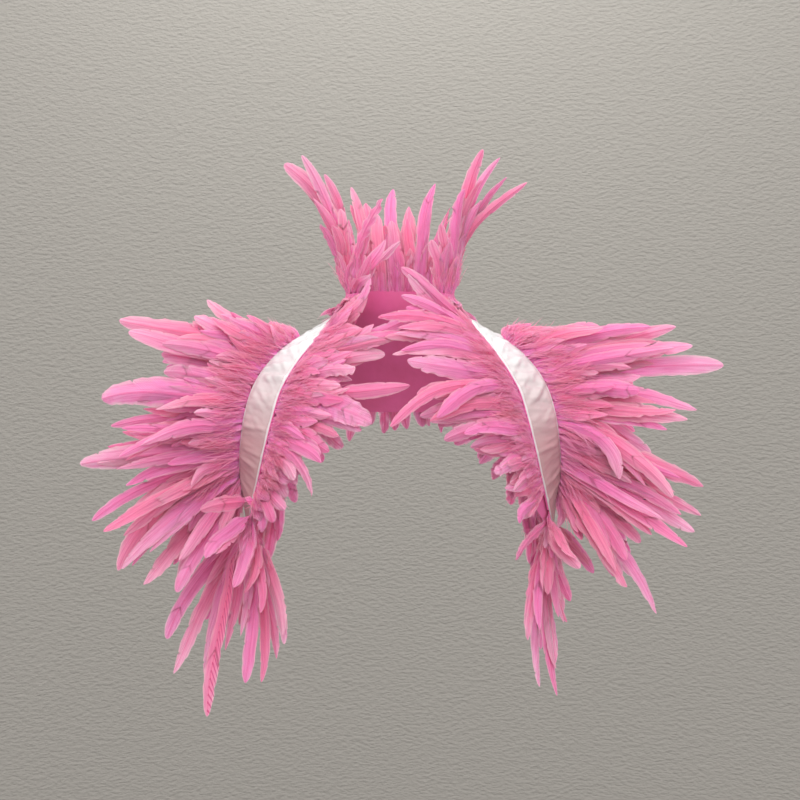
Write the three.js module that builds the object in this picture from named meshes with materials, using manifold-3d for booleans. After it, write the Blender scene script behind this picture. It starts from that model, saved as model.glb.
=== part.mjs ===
// A feather cape, worn: two satin bands round the armholes, a collar, two front panels and a back yoke,
// with rows of feathers sewn to their edges. Millimetres, +Z up, the front faces -Y, the wearer's right arm is at -X.
// The origin is the middle of the neck at the height of the shoulder's neck point, where the cape is held.
// Each side is worked out at +X, as seen in a mirror for the side at -X.
import * as THREE from "three";
import Module from "manifold-3d";
import { mergeVertices } from "three/addons/utils/BufferGeometryUtils.js";

const wasm = await Module();
wasm.setup();

// Driving sizes.
const BAND_WIDTH = 40;
const BAND_THICK = 1.3;
const CLOTH_THICK = 1.5;
const SEAM_GAP = 0.4;
const TRIM_WIDTH = 7; // the tape that each row of quills is sewn to
const TRIM_THICK = 1.5;
const TRIM_TUCK = 3; // how far the tape's edge lies in from the band's edge
const TRIM_LIFT = CLOTH_THICK + 0.3; // height of the tape's underside over the figure
const BAND_LIFT = TRIM_LIFT + TRIM_THICK + SEAM_GAP;
const PANEL_TUCK = 7; // how far a panel's edge runs in under a band
const ROOT_CLEAR = 1.5; // where a quill leaves its band's edge
const QUILL_THICK = 1.7;
const TIP_THICK = 1.0;
const ROOT_WIDTH = 3.4;
const COLLAR_BOTTOM = 3;
const COLLAR_TOP = 34;
const COLLAR_FRONT = 46; // degrees round from the side to the collar's front edge

// The general figure: half widths and depths of its sections, and how square each one is.
const FIGURE = [
  { level: 70, side: 50, front: 42, back: 58, square: 2 },
  { level: 40, side: 52, front: 48, back: 56, square: 2 },
  { level: 14, side: 56, front: 54, back: 58, square: 2 },
  { level: 0, side: 69, front: 60, back: 62, square: 2.1 },
  { level: -11, side: 84, front: 66, back: 67, square: 2.2 },
  { level: -23, side: 105, front: 74, back: 73, square: 2.3 },
  { level: -40, side: 131, front: 84, back: 80, square: 2.4 },
  { level: -60, side: 152, front: 94, back: 87, square: 2.5 },
  { level: -90, side: 165, front: 103, back: 93, square: 2.7 },
  { level: -125, side: 165, front: 108, back: 95, square: 2.9 },
  { level: -160, side: 161, front: 107, back: 93, square: 3 },
  { level: -200, side: 156, front: 102, back: 88, square: 2.9 },
  { level: -250, side: 148, front: 96, back: 82, square: 2.7 },
];

// The middle line of a band, as it shows from the front and from the back.
const BAND_FRONT = [
  { x: 96, z: -25 },
  { x: 116, z: -48 },
  { x: 131, z: -73 },
  { x: 139, z: -100 },
  { x: 145, z: -130 },
  { x: 150, z: -160 },
  { x: 154, z: -184 },
];
const BAND_BACK = [
  { x: 153, z: -182 },
  { x: 148, z: -158 },
  { x: 142, z: -130 },
  { x: 136, z: -100 },
  { x: 128, z: -72 },
  { x: 114, z: -46 },
  { x: 97, z: -25 },
];
const BAND_TOP = { x: 84, y: 0, z: -11 };
const BAND_UNDERARM = { x: 157, y: 0, z: -198 };

// The front panel's free edge, by its place down the band from the neck (0) to the underarm (1): how far round
// the body it reaches, in degrees from the side, and how much higher it lies there than at the band.
const FRONT_PANEL = [
  { at: 0.03, turn: 49, up: 6 },
  { at: 0.14, turn: 52, up: 0 },
  { at: 0.3, turn: 51, up: 0 },
  { at: 0.45, turn: 49, up: 0 },
  { at: 0.6, turn: 44, up: 0 },
  { at: 0.8, turn: 34, up: 0 },
  { at: 0.95, turn: 20, up: 0 },
];
const YOKE_NECK = 2.4; // level of the yoke's edge at the nape
const YOKE_LOW = 1.52; // place on the bands where the yoke ends

// The feathers. at: place along the row's tape; aim: degrees above level, or round from outwards; reach: root
// to tip; droop: degrees that the feather turns down along its length; splay: how far the tip stands out of
// the row, forwards on the front and backwards on the back; wide: its widest.
const SHOULDER_RIGHT_ARM = [
  { at: 0.03, aim: 14, reach: 38, droop: 56, splay: -6, wide: 12 },
  { at: 0.09, aim: 22, reach: 60, droop: 40, splay: 4, wide: 14 },
  { at: 0.145, aim: 31, reach: 96, droop: -12, splay: -10, wide: 14 },
  { at: 0.2, aim: 23, reach: 92, droop: 4, splay: 12, wide: 21 },
  { at: 0.255, aim: 16, reach: 160, droop: 24, splay: -2, wide: 23 },
  { at: 0.31, aim: 16, reach: 140, droop: 16, splay: 10, wide: 19 },
  { at: 0.365, aim: 16, reach: 100, droop: 8, splay: -8, wide: 22 },
  { at: 0.42, aim: 15, reach: 88, droop: 12, splay: 4, wide: 18 },
  { at: 0.48, aim: 1, reach: 142, droop: 24, splay: 16, wide: 29 },
  { at: 0.535, aim: -5, reach: 136, droop: -4, splay: -4, wide: 12 },
  { at: 0.58, aim: -4, reach: 120, droop: -16, splay: 8, wide: 11 },
  { at: 0.625, aim: -13, reach: 120, droop: 40, splay: 24, wide: 14 },
  { at: 0.675, aim: -2, reach: 136, droop: 8, splay: -6, wide: 14 },
  { at: 0.73, aim: -5, reach: 160, droop: 8, splay: 10, wide: 23 },
  { at: 0.785, aim: -23, reach: 164, droop: 28, splay: -4, wide: 13 },
  { at: 0.825, aim: -27, reach: 148, droop: 16, splay: 22, wide: 14 },
  { at: 0.865, aim: -39, reach: 160, droop: 56, splay: 2, wide: 20 },
  { at: 0.9, aim: -40, reach: 148, droop: 36, splay: 26, wide: 18 },
  { at: 0.94, aim: -48, reach: 144, droop: 8, splay: 6, wide: 20 },
  { at: 0.98, aim: -60, reach: 126, droop: 8, splay: 28, wide: 16 },
];
const SHOULDER_LEFT_ARM = [
  { at: 0.03, aim: 20, reach: 34, droop: 56, splay: -6, wide: 12 },
  { at: 0.09, aim: 14, reach: 52, droop: 56, splay: 4, wide: 14 },
  { at: 0.145, aim: 12, reach: 92, droop: 24, splay: -10, wide: 16 },
  { at: 0.2, aim: 12, reach: 132, droop: 8, splay: 12, wide: 15 },
  { at: 0.255, aim: 13, reach: 152, droop: 8, splay: -2, wide: 18 },
  { at: 0.31, aim: 10, reach: 156, droop: 8, splay: 14, wide: 21 },
  { at: 0.375, aim: 6, reach: 180, droop: 12, splay: 0, wide: 22 },
  { at: 0.43, aim: 5, reach: 88, droop: 8, splay: 14, wide: 18 },
  { at: 0.485, aim: -2, reach: 144, droop: 40, splay: -6, wide: 18 },
  { at: 0.53, aim: -2, reach: 132, droop: 8, splay: 8, wide: 18 },
  { at: 0.58, aim: -36, reach: 132, droop: 56, splay: 22, wide: 17 },
  { at: 0.625, aim: -21, reach: 106, droop: 20, splay: -2, wide: 14 },
  { at: 0.675, aim: -19, reach: 152, droop: 8, splay: 10, wide: 20 },
  { at: 0.725, aim: -25, reach: 160, droop: 8, splay: -6, wide: 18 },
  { at: 0.78, aim: -30, reach: 152, droop: 8, splay: 12, wide: 20 },
  { at: 0.825, aim: -34, reach: 148, droop: 8, splay: 28, wide: 15 },
  { at: 0.87, aim: -41, reach: 108, droop: 8, splay: 0, wide: 15 },
  { at: 0.915, aim: -55, reach: 168, droop: 24, splay: 18, wide: 19 },
  { at: 0.95, aim: -58, reach: 124, droop: 8, splay: 32, wide: 21 },
];
const SHOULDER_BEHIND = {
  count: 18,
  top: 4,
  bottom: -60,
  reach: 132,
  uneven: 0.12,
  wide: 19,
  splays: [-8, 7, 22],
};

const CHEST_RIGHT = [
  { at: 0.02, aim: 41, reach: 72, droop: -24, splay: 4, wide: 12 },
  { at: 0.07, aim: 7, reach: 52, droop: 44, splay: 10, wide: 15 },
  { at: 0.12, aim: 18, reach: 122, droop: -24, splay: 4, wide: 13 },
  { at: 0.18, aim: 13, reach: 104, droop: 12, splay: 10, wide: 15 },
  { at: 0.24, aim: 11, reach: 92, droop: 0, splay: 4, wide: 14 },
  { at: 0.3, aim: 6, reach: 68, droop: 8, splay: 10, wide: 15 },
  { at: 0.37, aim: 2, reach: 126, droop: -16, splay: 4, wide: 15 },
  { at: 0.44, aim: -11, reach: 96, droop: 24, splay: 10, wide: 25 },
  { at: 0.5, aim: -11, reach: 88, droop: 28, splay: 4, wide: 18 },
  { at: 0.57, aim: -22, reach: 64, droop: 36, splay: 11, wide: 16 },
  { at: 0.64, aim: -45, reach: 70, droop: 56, splay: 4, wide: 14 },
  { at: 0.71, aim: -28, reach: 40, droop: 20, splay: 11, wide: 16 },
  { at: 0.78, aim: -48, reach: 38, droop: 20, splay: 4, wide: 15 },
  { at: 0.86, aim: -66, reach: 38, droop: 16, splay: 10, wide: 13 },
  { at: 0.95, aim: -172, reach: 52, droop: -24, splay: 16, wide: 16 },
];
const CHEST_LEFT = [
  { at: 0.02, aim: 39, reach: 98, droop: 0, splay: 22, wide: 13 },
  { at: 0.07, aim: 26, reach: 92, droop: 24, splay: 16, wide: 12 },
  { at: 0.12, aim: 14, reach: 116, droop: 56, splay: 22, wide: 13 },
  { at: 0.18, aim: 10, reach: 116, droop: 44, splay: 16, wide: 16 },
  { at: 0.24, aim: 7, reach: 114, droop: 56, splay: 24, wide: 17 },
  { at: 0.3, aim: 7, reach: 104, droop: 8, splay: 16, wide: 20 },
  { at: 0.36, aim: -15, reach: 132, droop: 56, splay: 38, wide: 12 },
  { at: 0.43, aim: 0, reach: 102, droop: 44, splay: 12, wide: 18 },
  { at: 0.49, aim: -3, reach: 104, droop: 40, splay: 22, wide: 15 },
  { at: 0.55, aim: -1, reach: 96, droop: 36, splay: 14, wide: 18 },
  { at: 0.61, aim: -1, reach: 88, droop: 40, splay: 27, wide: 17 },
  { at: 0.67, aim: 2, reach: 64, droop: 20, splay: 11, wide: 17 },
  { at: 0.74, aim: -6, reach: 46, droop: 16, splay: 20, wide: 16 },
  { at: 0.81, aim: -22, reach: 38, droop: 16, splay: 11, wide: 14 },
  { at: 0.89, aim: -44, reach: 40, droop: 16, splay: 18, wide: 12 },
];

// Underarm rows, from front to back, hang down the side of the body and lean out over the arm.
const UNDERARM_RIGHT = [
  { at: 0.03, aim: -46, reach: 60, droop: 32, splay: 14, wide: 17 },
  { at: 0.1, aim: -80, reach: 68, droop: -24, splay: 20, wide: 17 },
  { at: 0.17, aim: -96, reach: 90, droop: -24, splay: 15, wide: 12 },
  { at: 0.24, aim: -108, reach: 124, droop: -24, splay: 20, wide: 12 },
  { at: 0.31, aim: -89, reach: 158, droop: -24, splay: 14, wide: 16 },
  { at: 0.38, aim: -97, reach: 156, droop: -24, splay: 18, wide: 15 },
  { at: 0.45, aim: -78, reach: 194, droop: 8, splay: 12, wide: 14 },
  { at: 0.52, aim: -74, reach: 160, droop: 28, splay: 16, wide: 19 },
  { at: 0.59, aim: -63, reach: 172, droop: 16, splay: 10, wide: 20 },
  { at: 0.66, aim: -53, reach: 150, droop: 36, splay: 13, wide: 17 },
  { at: 0.73, aim: -77, reach: 132, droop: 8, splay: 6, wide: 18 },
  { at: 0.8, aim: -63, reach: 124, droop: 4, splay: 9, wide: 17 },
  { at: 0.88, aim: -86, reach: 152, droop: 12, splay: 2, wide: 16 },
  { at: 0.96, aim: -75, reach: 118, droop: 12, splay: 5, wide: 15 },
];
const UNDERARM_LEFT = [
  { at: 0.03, aim: -66, reach: 60, droop: -12, splay: 14, wide: 16 },
  { at: 0.1, aim: -132, reach: 52, droop: -24, splay: 36, wide: 10 },
  { at: 0.17, aim: -93, reach: 72, droop: -24, splay: 16, wide: 14 },
  { at: 0.25, aim: -102, reach: 116, droop: -24, splay: 24, wide: 14 },
  { at: 0.32, aim: -96, reach: 162, droop: -24, splay: 16, wide: 14 },
  { at: 0.4, aim: -89, reach: 170, droop: -24, splay: 20, wide: 15 },
  { at: 0.48, aim: -89, reach: 138, droop: -24, splay: 12, wide: 16 },
  { at: 0.56, aim: -86, reach: 128, droop: -24, splay: 16, wide: 16 },
  { at: 0.64, aim: -78, reach: 104, droop: -24, splay: 9, wide: 15 },
  { at: 0.72, aim: -43, reach: 76, droop: 12, splay: 12, wide: 16 },
  { at: 0.8, aim: -89, reach: 144, droop: 4, splay: 4, wide: 16 },
  { at: 0.88, aim: -78, reach: 112, droop: 0, splay: 8, wide: 16 },
  { at: 0.96, aim: -89, reach: 126, droop: 24, splay: 2, wide: 15 },
];

// Collar rows stand up the neck. turn: degrees round from the wearer's left; flare: how far the tip leans out;
// sweep: how far it leans sideways, towards the front.
const COLLAR_ROW = [
  { turn: 43, reach: 54, flare: 0, sweep: 12, wide: 13 },
  { turn: 33, reach: 72, flare: 8, sweep: 14, wide: 11 },
  { turn: 22, reach: 108, flare: 12, sweep: 2, wide: 12 },
  { turn: 10, reach: 152, flare: 32, sweep: 4, wide: 16 },
  { turn: -2, reach: 142, flare: 74, sweep: 4, wide: 11 },
  { turn: -13, reach: 158, flare: 52, sweep: -2, wide: 16 },
  { turn: -26, reach: 128, flare: 40, sweep: -4, wide: 16 },
  { turn: -40, reach: 138, flare: 34, sweep: 3, wide: 17 },
  { turn: -54, reach: 120, flare: 46, sweep: -3, wide: 17 },
  { turn: -68, reach: 134, flare: 38, sweep: 3, wide: 17 },
  { turn: -82, reach: 118, flare: 48, sweep: -3, wide: 17 },
  { turn: -97, reach: 132, flare: 40, sweep: 3, wide: 17 },
  { turn: -111, reach: 120, flare: 48, sweep: -3, wide: 17 },
  { turn: -125, reach: 134, flare: 38, sweep: 3, wide: 17 },
  { turn: -139, reach: 124, flare: 46, sweep: -3, wide: 17 },
  { turn: -153, reach: 140, flare: 36, sweep: 3, wide: 16 },
  { turn: -166, reach: 156, flare: 42, sweep: -2, wide: 14 },
  { turn: -178, reach: 154, flare: 66, sweep: 2, wide: 20 },
  { turn: -190, reach: 150, flare: 50, sweep: -4, wide: 13 },
  { turn: -201, reach: 86, flare: 18, sweep: -4, wide: 14 },
  { turn: -212, reach: 104, flare: -8, sweep: -44, wide: 11 },
  { turn: -223, reach: 74, flare: 2, sweep: -58, wide: 9 },
];

// Rows on the back: the band's inner edge, up from the underarm, and the nape, straight down.
const BACK_INNER = [
  { at: 0.03, aim: -104, reach: 120, droop: 8, splay: 10, wide: 15 },
  { at: 0.14, aim: -96, reach: 96, droop: 8, splay: 3, wide: 15 },
  { at: 0.25, aim: -76, reach: 48, droop: 16, splay: 9, wide: 14 },
  { at: 0.36, aim: -62, reach: 44, droop: 16, splay: 3, wide: 15 },
  { at: 0.46, aim: -48, reach: 52, droop: 16, splay: 9, wide: 17 },
  { at: 0.56, aim: -34, reach: 66, droop: 20, splay: 3, wide: 18 },
  { at: 0.66, aim: -24, reach: 78, droop: 20, splay: 9, wide: 18 },
  { at: 0.76, aim: -17, reach: 78, droop: 20, splay: 3, wide: 18 },
  { at: 0.86, aim: -14, reach: 66, droop: 20, splay: 9, wide: 17 },
  { at: 0.96, aim: -12, reach: 52, droop: 16, splay: 3, wide: 15 },
];
const NAPE = { count: 10, spread: 44, reach: 100, fan: 10, uneven: 0.12, wide: 18 };

const SATIN = { color: 0xe9d8dc, roughness: 0.4, metalness: 0 };
const BASE = { color: 0xd96a97, roughness: 0.6, metalness: 0 };
const FEATHER = { color: 0xec7aa5, roughness: 0.8, metalness: 0 };
const SHOULDER_FRONT_SPAN = [0.04, 0.9];
const SHOULDER_BACK_SPAN = [1.12, 1.96];
const CHEST_SPAN = [0.09, 0.85];
const UNDERARM_SPAN = [0.86, 1.14];
const BACK_SPAN = [1.15, 1.8];

const rad = THREE.MathUtils.degToRad;
const vec = (x, y, z) => new THREE.Vector3(x, y, z);
const along = (from, to, share) => from + (to - from) * share;

// The same uneven number, from 0 to 1, each time for the same seed.
function uneven(seed) {
  const wave = Math.sin(seed * 12.9898 + 4.1414) * 43758.5453;
  return wave - Math.floor(wave);
}

// A smooth curve through a table's rows: each column's value where the key column is at the place given.
function readTable(table, key, column, place) {
  const keys = table.map((row) => row[key]);
  const values = table.map((row) => row[column]);
  const last = keys.length - 1;
  const rising = keys[last] > keys[0] ? 1 : -1;
  let i = 0;
  while (i < last - 1 && (place - keys[i + 1]) * rising > 0) i += 1;
  const step = keys[i + 1] - keys[i];
  const slope = (k) => {
    const a = Math.max(0, k - 1);
    const b = Math.min(last, k + 1);
    return (values[b] - values[a]) / (keys[b] - keys[a]);
  };
  const u = THREE.MathUtils.clamp((place - keys[i]) / step, 0, 1);
  const rest = 1 - u;
  return (
    values[i] * rest * rest * (1 + 2 * u) +
    values[i + 1] * u * u * (3 - 2 * u) +
    slope(i) * step * u * rest * rest -
    slope(i + 1) * step * u * u * rest
  );
}

// A point on the figure: turn is the angle round from +X towards the front.
function figurePoint(turn, level) {
  const side = readTable(FIGURE, "level", "side", level);
  const depth = readTable(FIGURE, "level", Math.sin(turn) >= 0 ? "front" : "back", level);
  const square = readTable(FIGURE, "level", "square", level);
  const c = Math.cos(turn);
  const s = Math.sin(turn);
  const reach = (Math.abs(c / side) ** square + Math.abs(s / depth) ** square) ** (-1 / square);
  return vec(reach * c, -reach * s, level);
}

const turnOf = (p) => Math.atan2(-p.y, p.x);

// The direction straight out of the figure.
function figureNormal(p) {
  const turn = turnOf(p);
  const small = 0.5;
  const round = figurePoint(turn + 0.01, p.z).sub(figurePoint(turn - 0.01, p.z));
  const down = figurePoint(turn, p.z - small).sub(figurePoint(turn, p.z + small));
  return round.cross(down).normalize();
}

// The figure's depth at a place that is seen from the front (facing 1) or the back (facing -1).
function figureDepth(x, level, facing) {
  const side = readTable(FIGURE, "level", "side", level);
  const depth = readTable(FIGURE, "level", facing > 0 ? "front" : "back", level);
  const square = readTable(FIGURE, "level", "square", level);
  const rest = Math.max(0, 1 - Math.abs(x / side) ** square);
  return -facing * depth * rest ** (1 / square);
}

// The middle line of a band as a closed curve: 0 to 1 is the front half, from neck to underarm, and 1 to 2
// the back half, up to the neck again.
const onFigure = (row, facing) => vec(row.x, figureDepth(row.x, row.z, facing), row.z);
const ringPoints = [
  vec(BAND_TOP.x, BAND_TOP.y, BAND_TOP.z),
  ...BAND_FRONT.map((row) => onFigure(row, 1)),
  vec(BAND_UNDERARM.x, BAND_UNDERARM.y, BAND_UNDERARM.z),
  ...BAND_BACK.map((row) => onFigure(row, -1)),
];
const ringCurve = new THREE.CatmullRomCurve3(ringPoints, true, "centripetal");
const halfway = (BAND_FRONT.length + 1) / ringPoints.length;

// The band's place, run and outward edge direction at a place round the ring.
function ringFrame(at) {
  const share = at <= 1 ? at * halfway : along(halfway, 1, at - 1);
  const turn = ((share % 1) + 1) % 1;
  const point = ringCurve.getPoint(turn);
  const run = ringCurve.getTangent(turn);
  const normal = figureNormal(point);
  const outer = normal.clone().cross(run).normalize();
  return { point, run, normal, outer };
}

// A point of the band: across is out from its middle line, lift is above the figure.
function onRing(at, across, lift) {
  const { point, normal, outer } = ringFrame(at);
  return point.addScaledVector(outer, across).addScaledVector(normal, lift);
}

// A closed wall from two grids of points of the same shape: the outer face and the inner face.
function wall(outer, inner) {
  const rows = outer.length;
  const columns = outer[0].length;
  const positions = [...outer.flat(), ...inner.flat()].flatMap((p) => [p.x, p.y, p.z]);
  const place = (face, r, c) => face * rows * columns + r * columns + c;
  const index = [];
  const quad = (a, b, c, d) => index.push(a, b, c, a, c, d);
  for (let r = 0; r < rows - 1; r += 1) {
    for (let c = 0; c < columns - 1; c += 1) {
      quad(place(0, r, c), place(0, r, c + 1), place(0, r + 1, c + 1), place(0, r + 1, c));
      quad(place(1, r, c), place(1, r + 1, c), place(1, r + 1, c + 1), place(1, r, c + 1));
    }
    quad(place(0, r, 0), place(0, r + 1, 0), place(1, r + 1, 0), place(1, r, 0));
    const end = columns - 1;
    quad(place(0, r, end), place(1, r, end), place(1, r + 1, end), place(0, r + 1, end));
  }
  for (let c = 0; c < columns - 1; c += 1) {
    quad(place(0, 0, c), place(1, 0, c), place(1, 0, c + 1), place(0, 0, c + 1));
    const end = rows - 1;
    quad(place(0, end, c), place(0, end, c + 1), place(1, end, c + 1), place(1, end, c));
  }
  return new THREE.BufferGeometry()
    .setAttribute("position", new THREE.Float32BufferAttribute(positions, 3))
    .setIndex(index);
}

const grid = (rows, columns, make) =>
  Array.from({ length: rows }, (_, r) =>
    Array.from({ length: columns }, (_, c) => make(r / (rows - 1), c / (columns - 1))),
  );

// The faces of a solid, turned so that they point out, and mirrored for the other side of the body.
function mirrored(geometry, side) {
  if (side > 0) return geometry;
  const other = geometry.clone().applyMatrix4(new THREE.Matrix4().makeScale(-1, 1, 1));
  const order = other.getIndex().array;
  for (let i = 0; i < order.length; i += 3) [order[i + 1], order[i + 2]] = [order[i + 2], order[i + 1]];
  return other;
}

function volumeOf(geometry) {
  const p = geometry.getAttribute("position");
  const order = geometry.getIndex().array;
  const at = (i) => vec(p.getX(order[i]), p.getY(order[i]), p.getZ(order[i]));
  let sum = 0;
  for (let i = 0; i < order.length; i += 3) sum += at(i).dot(at(i + 1).cross(at(i + 2)));
  return sum / 6;
}

function facingOut(geometry) {
  if (volumeOf(geometry) < 0) {
    const order = geometry.getIndex().array;
    for (let i = 0; i < order.length; i += 3) [order[i + 1], order[i + 2]] = [order[i + 2], order[i + 1]];
  }
  return geometry;
}

function toManifold(geometry) {
  const merged = mergeVertices(geometry, 1e-4);
  return new wasm.Manifold(
    new wasm.Mesh({
      numProp: 3,
      vertProperties: new Float32Array(merged.getAttribute("position").array),
      triVerts: new Uint32Array(merged.getIndex().array),
    }),
  );
}

function fromManifold(solid) {
  const mesh = solid.getMesh();
  return new THREE.BufferGeometry()
    .setAttribute("position", new THREE.Float32BufferAttribute(mesh.vertProperties, 3))
    .setIndex([...mesh.triVerts]);
}

// Places round the ring where its pieces have their points, so that each piece lies flat on the next.
function stations(from, to) {
  const step = 1 / 24;
  const inner = [];
  for (let k = Math.ceil(from / step + 0.2); k * step < to - 0.2 * step; k += 1) inner.push(k * step);
  return [from, ...inner, to];
}

// A strip along the ring between two distances from its middle line.
function ringStrip(from, to, inner, outer, columns, lift, thick) {
  const face = (height) =>
    stations(from, to).map((at) =>
      Array.from({ length: columns }, (_, c) => onRing(at, along(inner, outer, c / (columns - 1)), height)),
    );
  return facingOut(wall(face(lift + thick), face(lift)));
}

// One half of a band, a plain strip of satin between two places round the ring.
const bandHalf = (from, to) => ringStrip(from, to, -BAND_WIDTH / 2, BAND_WIDTH / 2, 3, BAND_LIFT, BAND_THICK);

// The tape that a row of quills is sewn to, under an edge of the band: edge is 1 for outer and -1 for inner.
const tapeMiddle = (edge) => edge * (BAND_WIDTH / 2 - TRIM_TUCK);
const quillExit = (edge) => edge * (BAND_WIDTH / 2 + ROOT_CLEAR);

function tape(from, to, edge) {
  const middle = tapeMiddle(edge);
  return ringStrip(from, to, middle - TRIM_WIDTH / 2, middle + TRIM_WIDTH / 2, 2, TRIM_LIFT, TRIM_THICK);
}

// A panel's edge that runs in under the band's inner edge.
const panelSide = (at, lift) => onRing(at, PANEL_TUCK - BAND_WIDTH / 2, lift);

// The front panel, from under the band's inner edge, on the figure, towards the middle of the chest.
function frontPanel() {
  const first = FRONT_PANEL[0].at;
  const last = FRONT_PANEL[FRONT_PANEL.length - 1].at;
  const face = (lift) =>
    stations(first, last).map((at) => {
      const side = panelSide(at, 0);
      const free = rad(readTable(FRONT_PANEL, "at", "turn", at));
      const up = readTable(FRONT_PANEL, "at", "up", at);
      return Array.from({ length: 5 }, (_, c) => {
        if (c === 0) return panelSide(at, lift);
        const place = figurePoint(along(turnOf(side), free, c / 4), side.z + up * Math.min(1, c / 2));
        return place.addScaledVector(figureNormal(place), lift);
      });
    });
  return facingOut(wall(face(CLOTH_THICK), face(0)));
}

// The back yoke, from band to band across the back, level by level.
function backYoke() {
  const rows = stations(YOKE_LOW, 1.97);
  const columns = 13;
  const face = (lift) =>
    rows.map((at) => {
      const side = panelSide(at, 0);
      const turn = turnOf(side);
      const up = at === rows[rows.length - 1] ? YOKE_NECK - side.z : 0;
      return Array.from({ length: columns }, (_, c) => {
        if (c === 0) return panelSide(at, lift);
        if (c === columns - 1) return panelSide(at, lift).multiply(vec(-1, 1, 1));
        const share = c / (columns - 1);
        const level = side.z + up * Math.min(1, Math.min(share, 1 - share) * 6);
        const place = figurePoint(along(turn, -Math.PI - turn, share), level);
        return place.addScaledVector(figureNormal(place), lift);
      });
    });
  return facingOut(wall(face(CLOTH_THICK), face(0)));
}

// The collar stands round the neck and is open in front, lower at its front edges.
function collar() {
  const [from, to] = [rad(COLLAR_FRONT), -Math.PI - rad(COLLAR_FRONT)];
  const face = (lift) =>
    grid(25, 5, (r, c) => {
      const fromEdge = Math.min(r, 1 - r);
      const top = along(COLLAR_TOP - 10, COLLAR_TOP, Math.min(1, fromEdge / 0.12));
      const place = figurePoint(along(from, to, r), along(COLLAR_BOTTOM, top, c));
      return place.addScaledVector(figureNormal(place), lift);
    });
  return facingOut(wall(face(CLOTH_THICK), face(0)));
}

// The outline of a feather: its half width as a share of the widest, by place along it.
const OUTLINE = [
  { at: 0.3, share: 0.62 },
  { at: 0.62, share: 1 },
  { at: 0.87, share: 0.7 },
];

// A feather as a flat three-sided blade. Its end is sewn in at base; it leaves the band's edge at root and
// curves through middle to tip. It lies flat on the cloth at its root (flat) and its front looks towards face.
function feather({ base, root, flat, middle, tip, face, wide }) {
  const bend = middle.clone().multiplyScalar(2).addScaledVector(root, -0.5).addScaledVector(tip, -0.5);
  const curve = new THREE.QuadraticBezierCurve3(root, bend, tip);
  const corners = [];
  const section = (place, run, facing, half, thick) => {
    const across = run.clone().cross(facing).normalize();
    const up = across.clone().cross(run).normalize();
    corners.push(
      place.clone().addScaledVector(across, half).addScaledVector(up, -thick / 2),
      place.clone().addScaledVector(up, thick / 2),
      place.clone().addScaledVector(across, -half).addScaledVector(up, -thick / 2),
    );
  };
  const start = root.clone().sub(base).normalize();
  section(base, start, flat, ROOT_WIDTH / 2, TRIM_THICK * 0.7);
  section(root, start, flat, ROOT_WIDTH / 2, TRIM_THICK * 0.9);
  for (const row of OUTLINE) {
    const thick = along(QUILL_THICK, TIP_THICK, row.at);
    section(curve.getPoint(row.at), curve.getTangent(row.at).normalize(), face, (row.share * wide) / 2, thick);
  }
  corners.push(tip);
  const end = corners.length - 1;
  const index = [0, 2, 1];
  for (let r = 0; r * 3 + 3 < end; r += 1) {
    for (let k = 0; k < 3; k += 1) {
      const [a, b] = [r * 3 + k, r * 3 + ((k + 1) % 3)];
      index.push(a, b, b + 3, a, b + 3, a + 3);
    }
  }
  for (let k = 0; k < 3; k += 1) index.push(end - 3 + k, end - 3 + ((k + 1) % 3), end);
  return facingOut(
    new THREE.BufferGeometry()
      .setAttribute("position", new THREE.Float32BufferAttribute(corners.flatMap((p) => [p.x, p.y, p.z]), 3))
      .setIndex(index),
  );
}

// A row of feathers fused at their roots to its tape.
function fringe(tapeGeometry, feathers) {
  const parts = [tapeGeometry, ...feathers.map(feather)].map(toManifold);
  return fromManifold(wasm.Manifold.union(parts));
}

// How far the middle of an arc stands off its chord when the arc turns by that many degrees.
const rise = (chord, turn) => (chord / 2) * Math.tan(rad(turn) / 4);

// Where a quill of a band's row is sewn in, and where it leaves the band's edge.
const quillPlaces = (at, edge) => ({
  base: onRing(at, tapeMiddle(edge), TRIM_LIFT + TRIM_THICK / 2),
  root: onRing(at, quillExit(edge), TRIM_LIFT + TRIM_THICK / 2),
  flat: ringFrame(at).normal,
});

// Feathers that stand away from the body, round the arm from the band's outer edge or down from the underarm.
// facing is 1 on the front and -1 on the back.
function armFeathers(table, span, edge, facing) {
  return table.map((row) => {
    const { base, root, flat } = quillPlaces(along(span[0], span[1], row.at), edge);
    const aim = vec(Math.cos(rad(row.aim)), 0, Math.sin(rad(row.aim)));
    const up = vec(-aim.z, 0, aim.x);
    const tip = root.clone().addScaledVector(aim, row.reach).add(vec(0, -facing * row.splay, 0));
    const middle = root
      .clone()
      .addScaledVector(aim, row.reach / 2)
      .addScaledVector(up, rise(row.reach, row.droop))
      .add(vec(0, -facing * row.splay * 0.7, 0));
    const face = vec(0, -facing, 0).addScaledVector(flat, 0.5).normalize();
    return { base, root, flat, middle, tip, face, wide: row.wide };
  });
}

// Evenly placed rows of a table, uneven in reach and aim, for what the front doesn't show.
function evenRows({ count, top, bottom, reach, uneven: change, wide, splays }, seed) {
  return Array.from({ length: count }, (_, i) => ({
    at: (i + 0.5) / count,
    aim: along(bottom, top, (i + 0.5) / count) + 3 * (uneven(seed + i) - 0.5),
    reach: reach * (1 + change * (2 * uneven(seed + 40 + i) - 1)),
    droop: 16 + 10 * uneven(seed + 80 + i),
    splay: splays[i % splays.length] * (1 - (0.7 * (i + 0.5)) / count),
    wide: wide + 5 * (uneven(seed + 120 + i) - 0.5),
  }));
}

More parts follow.
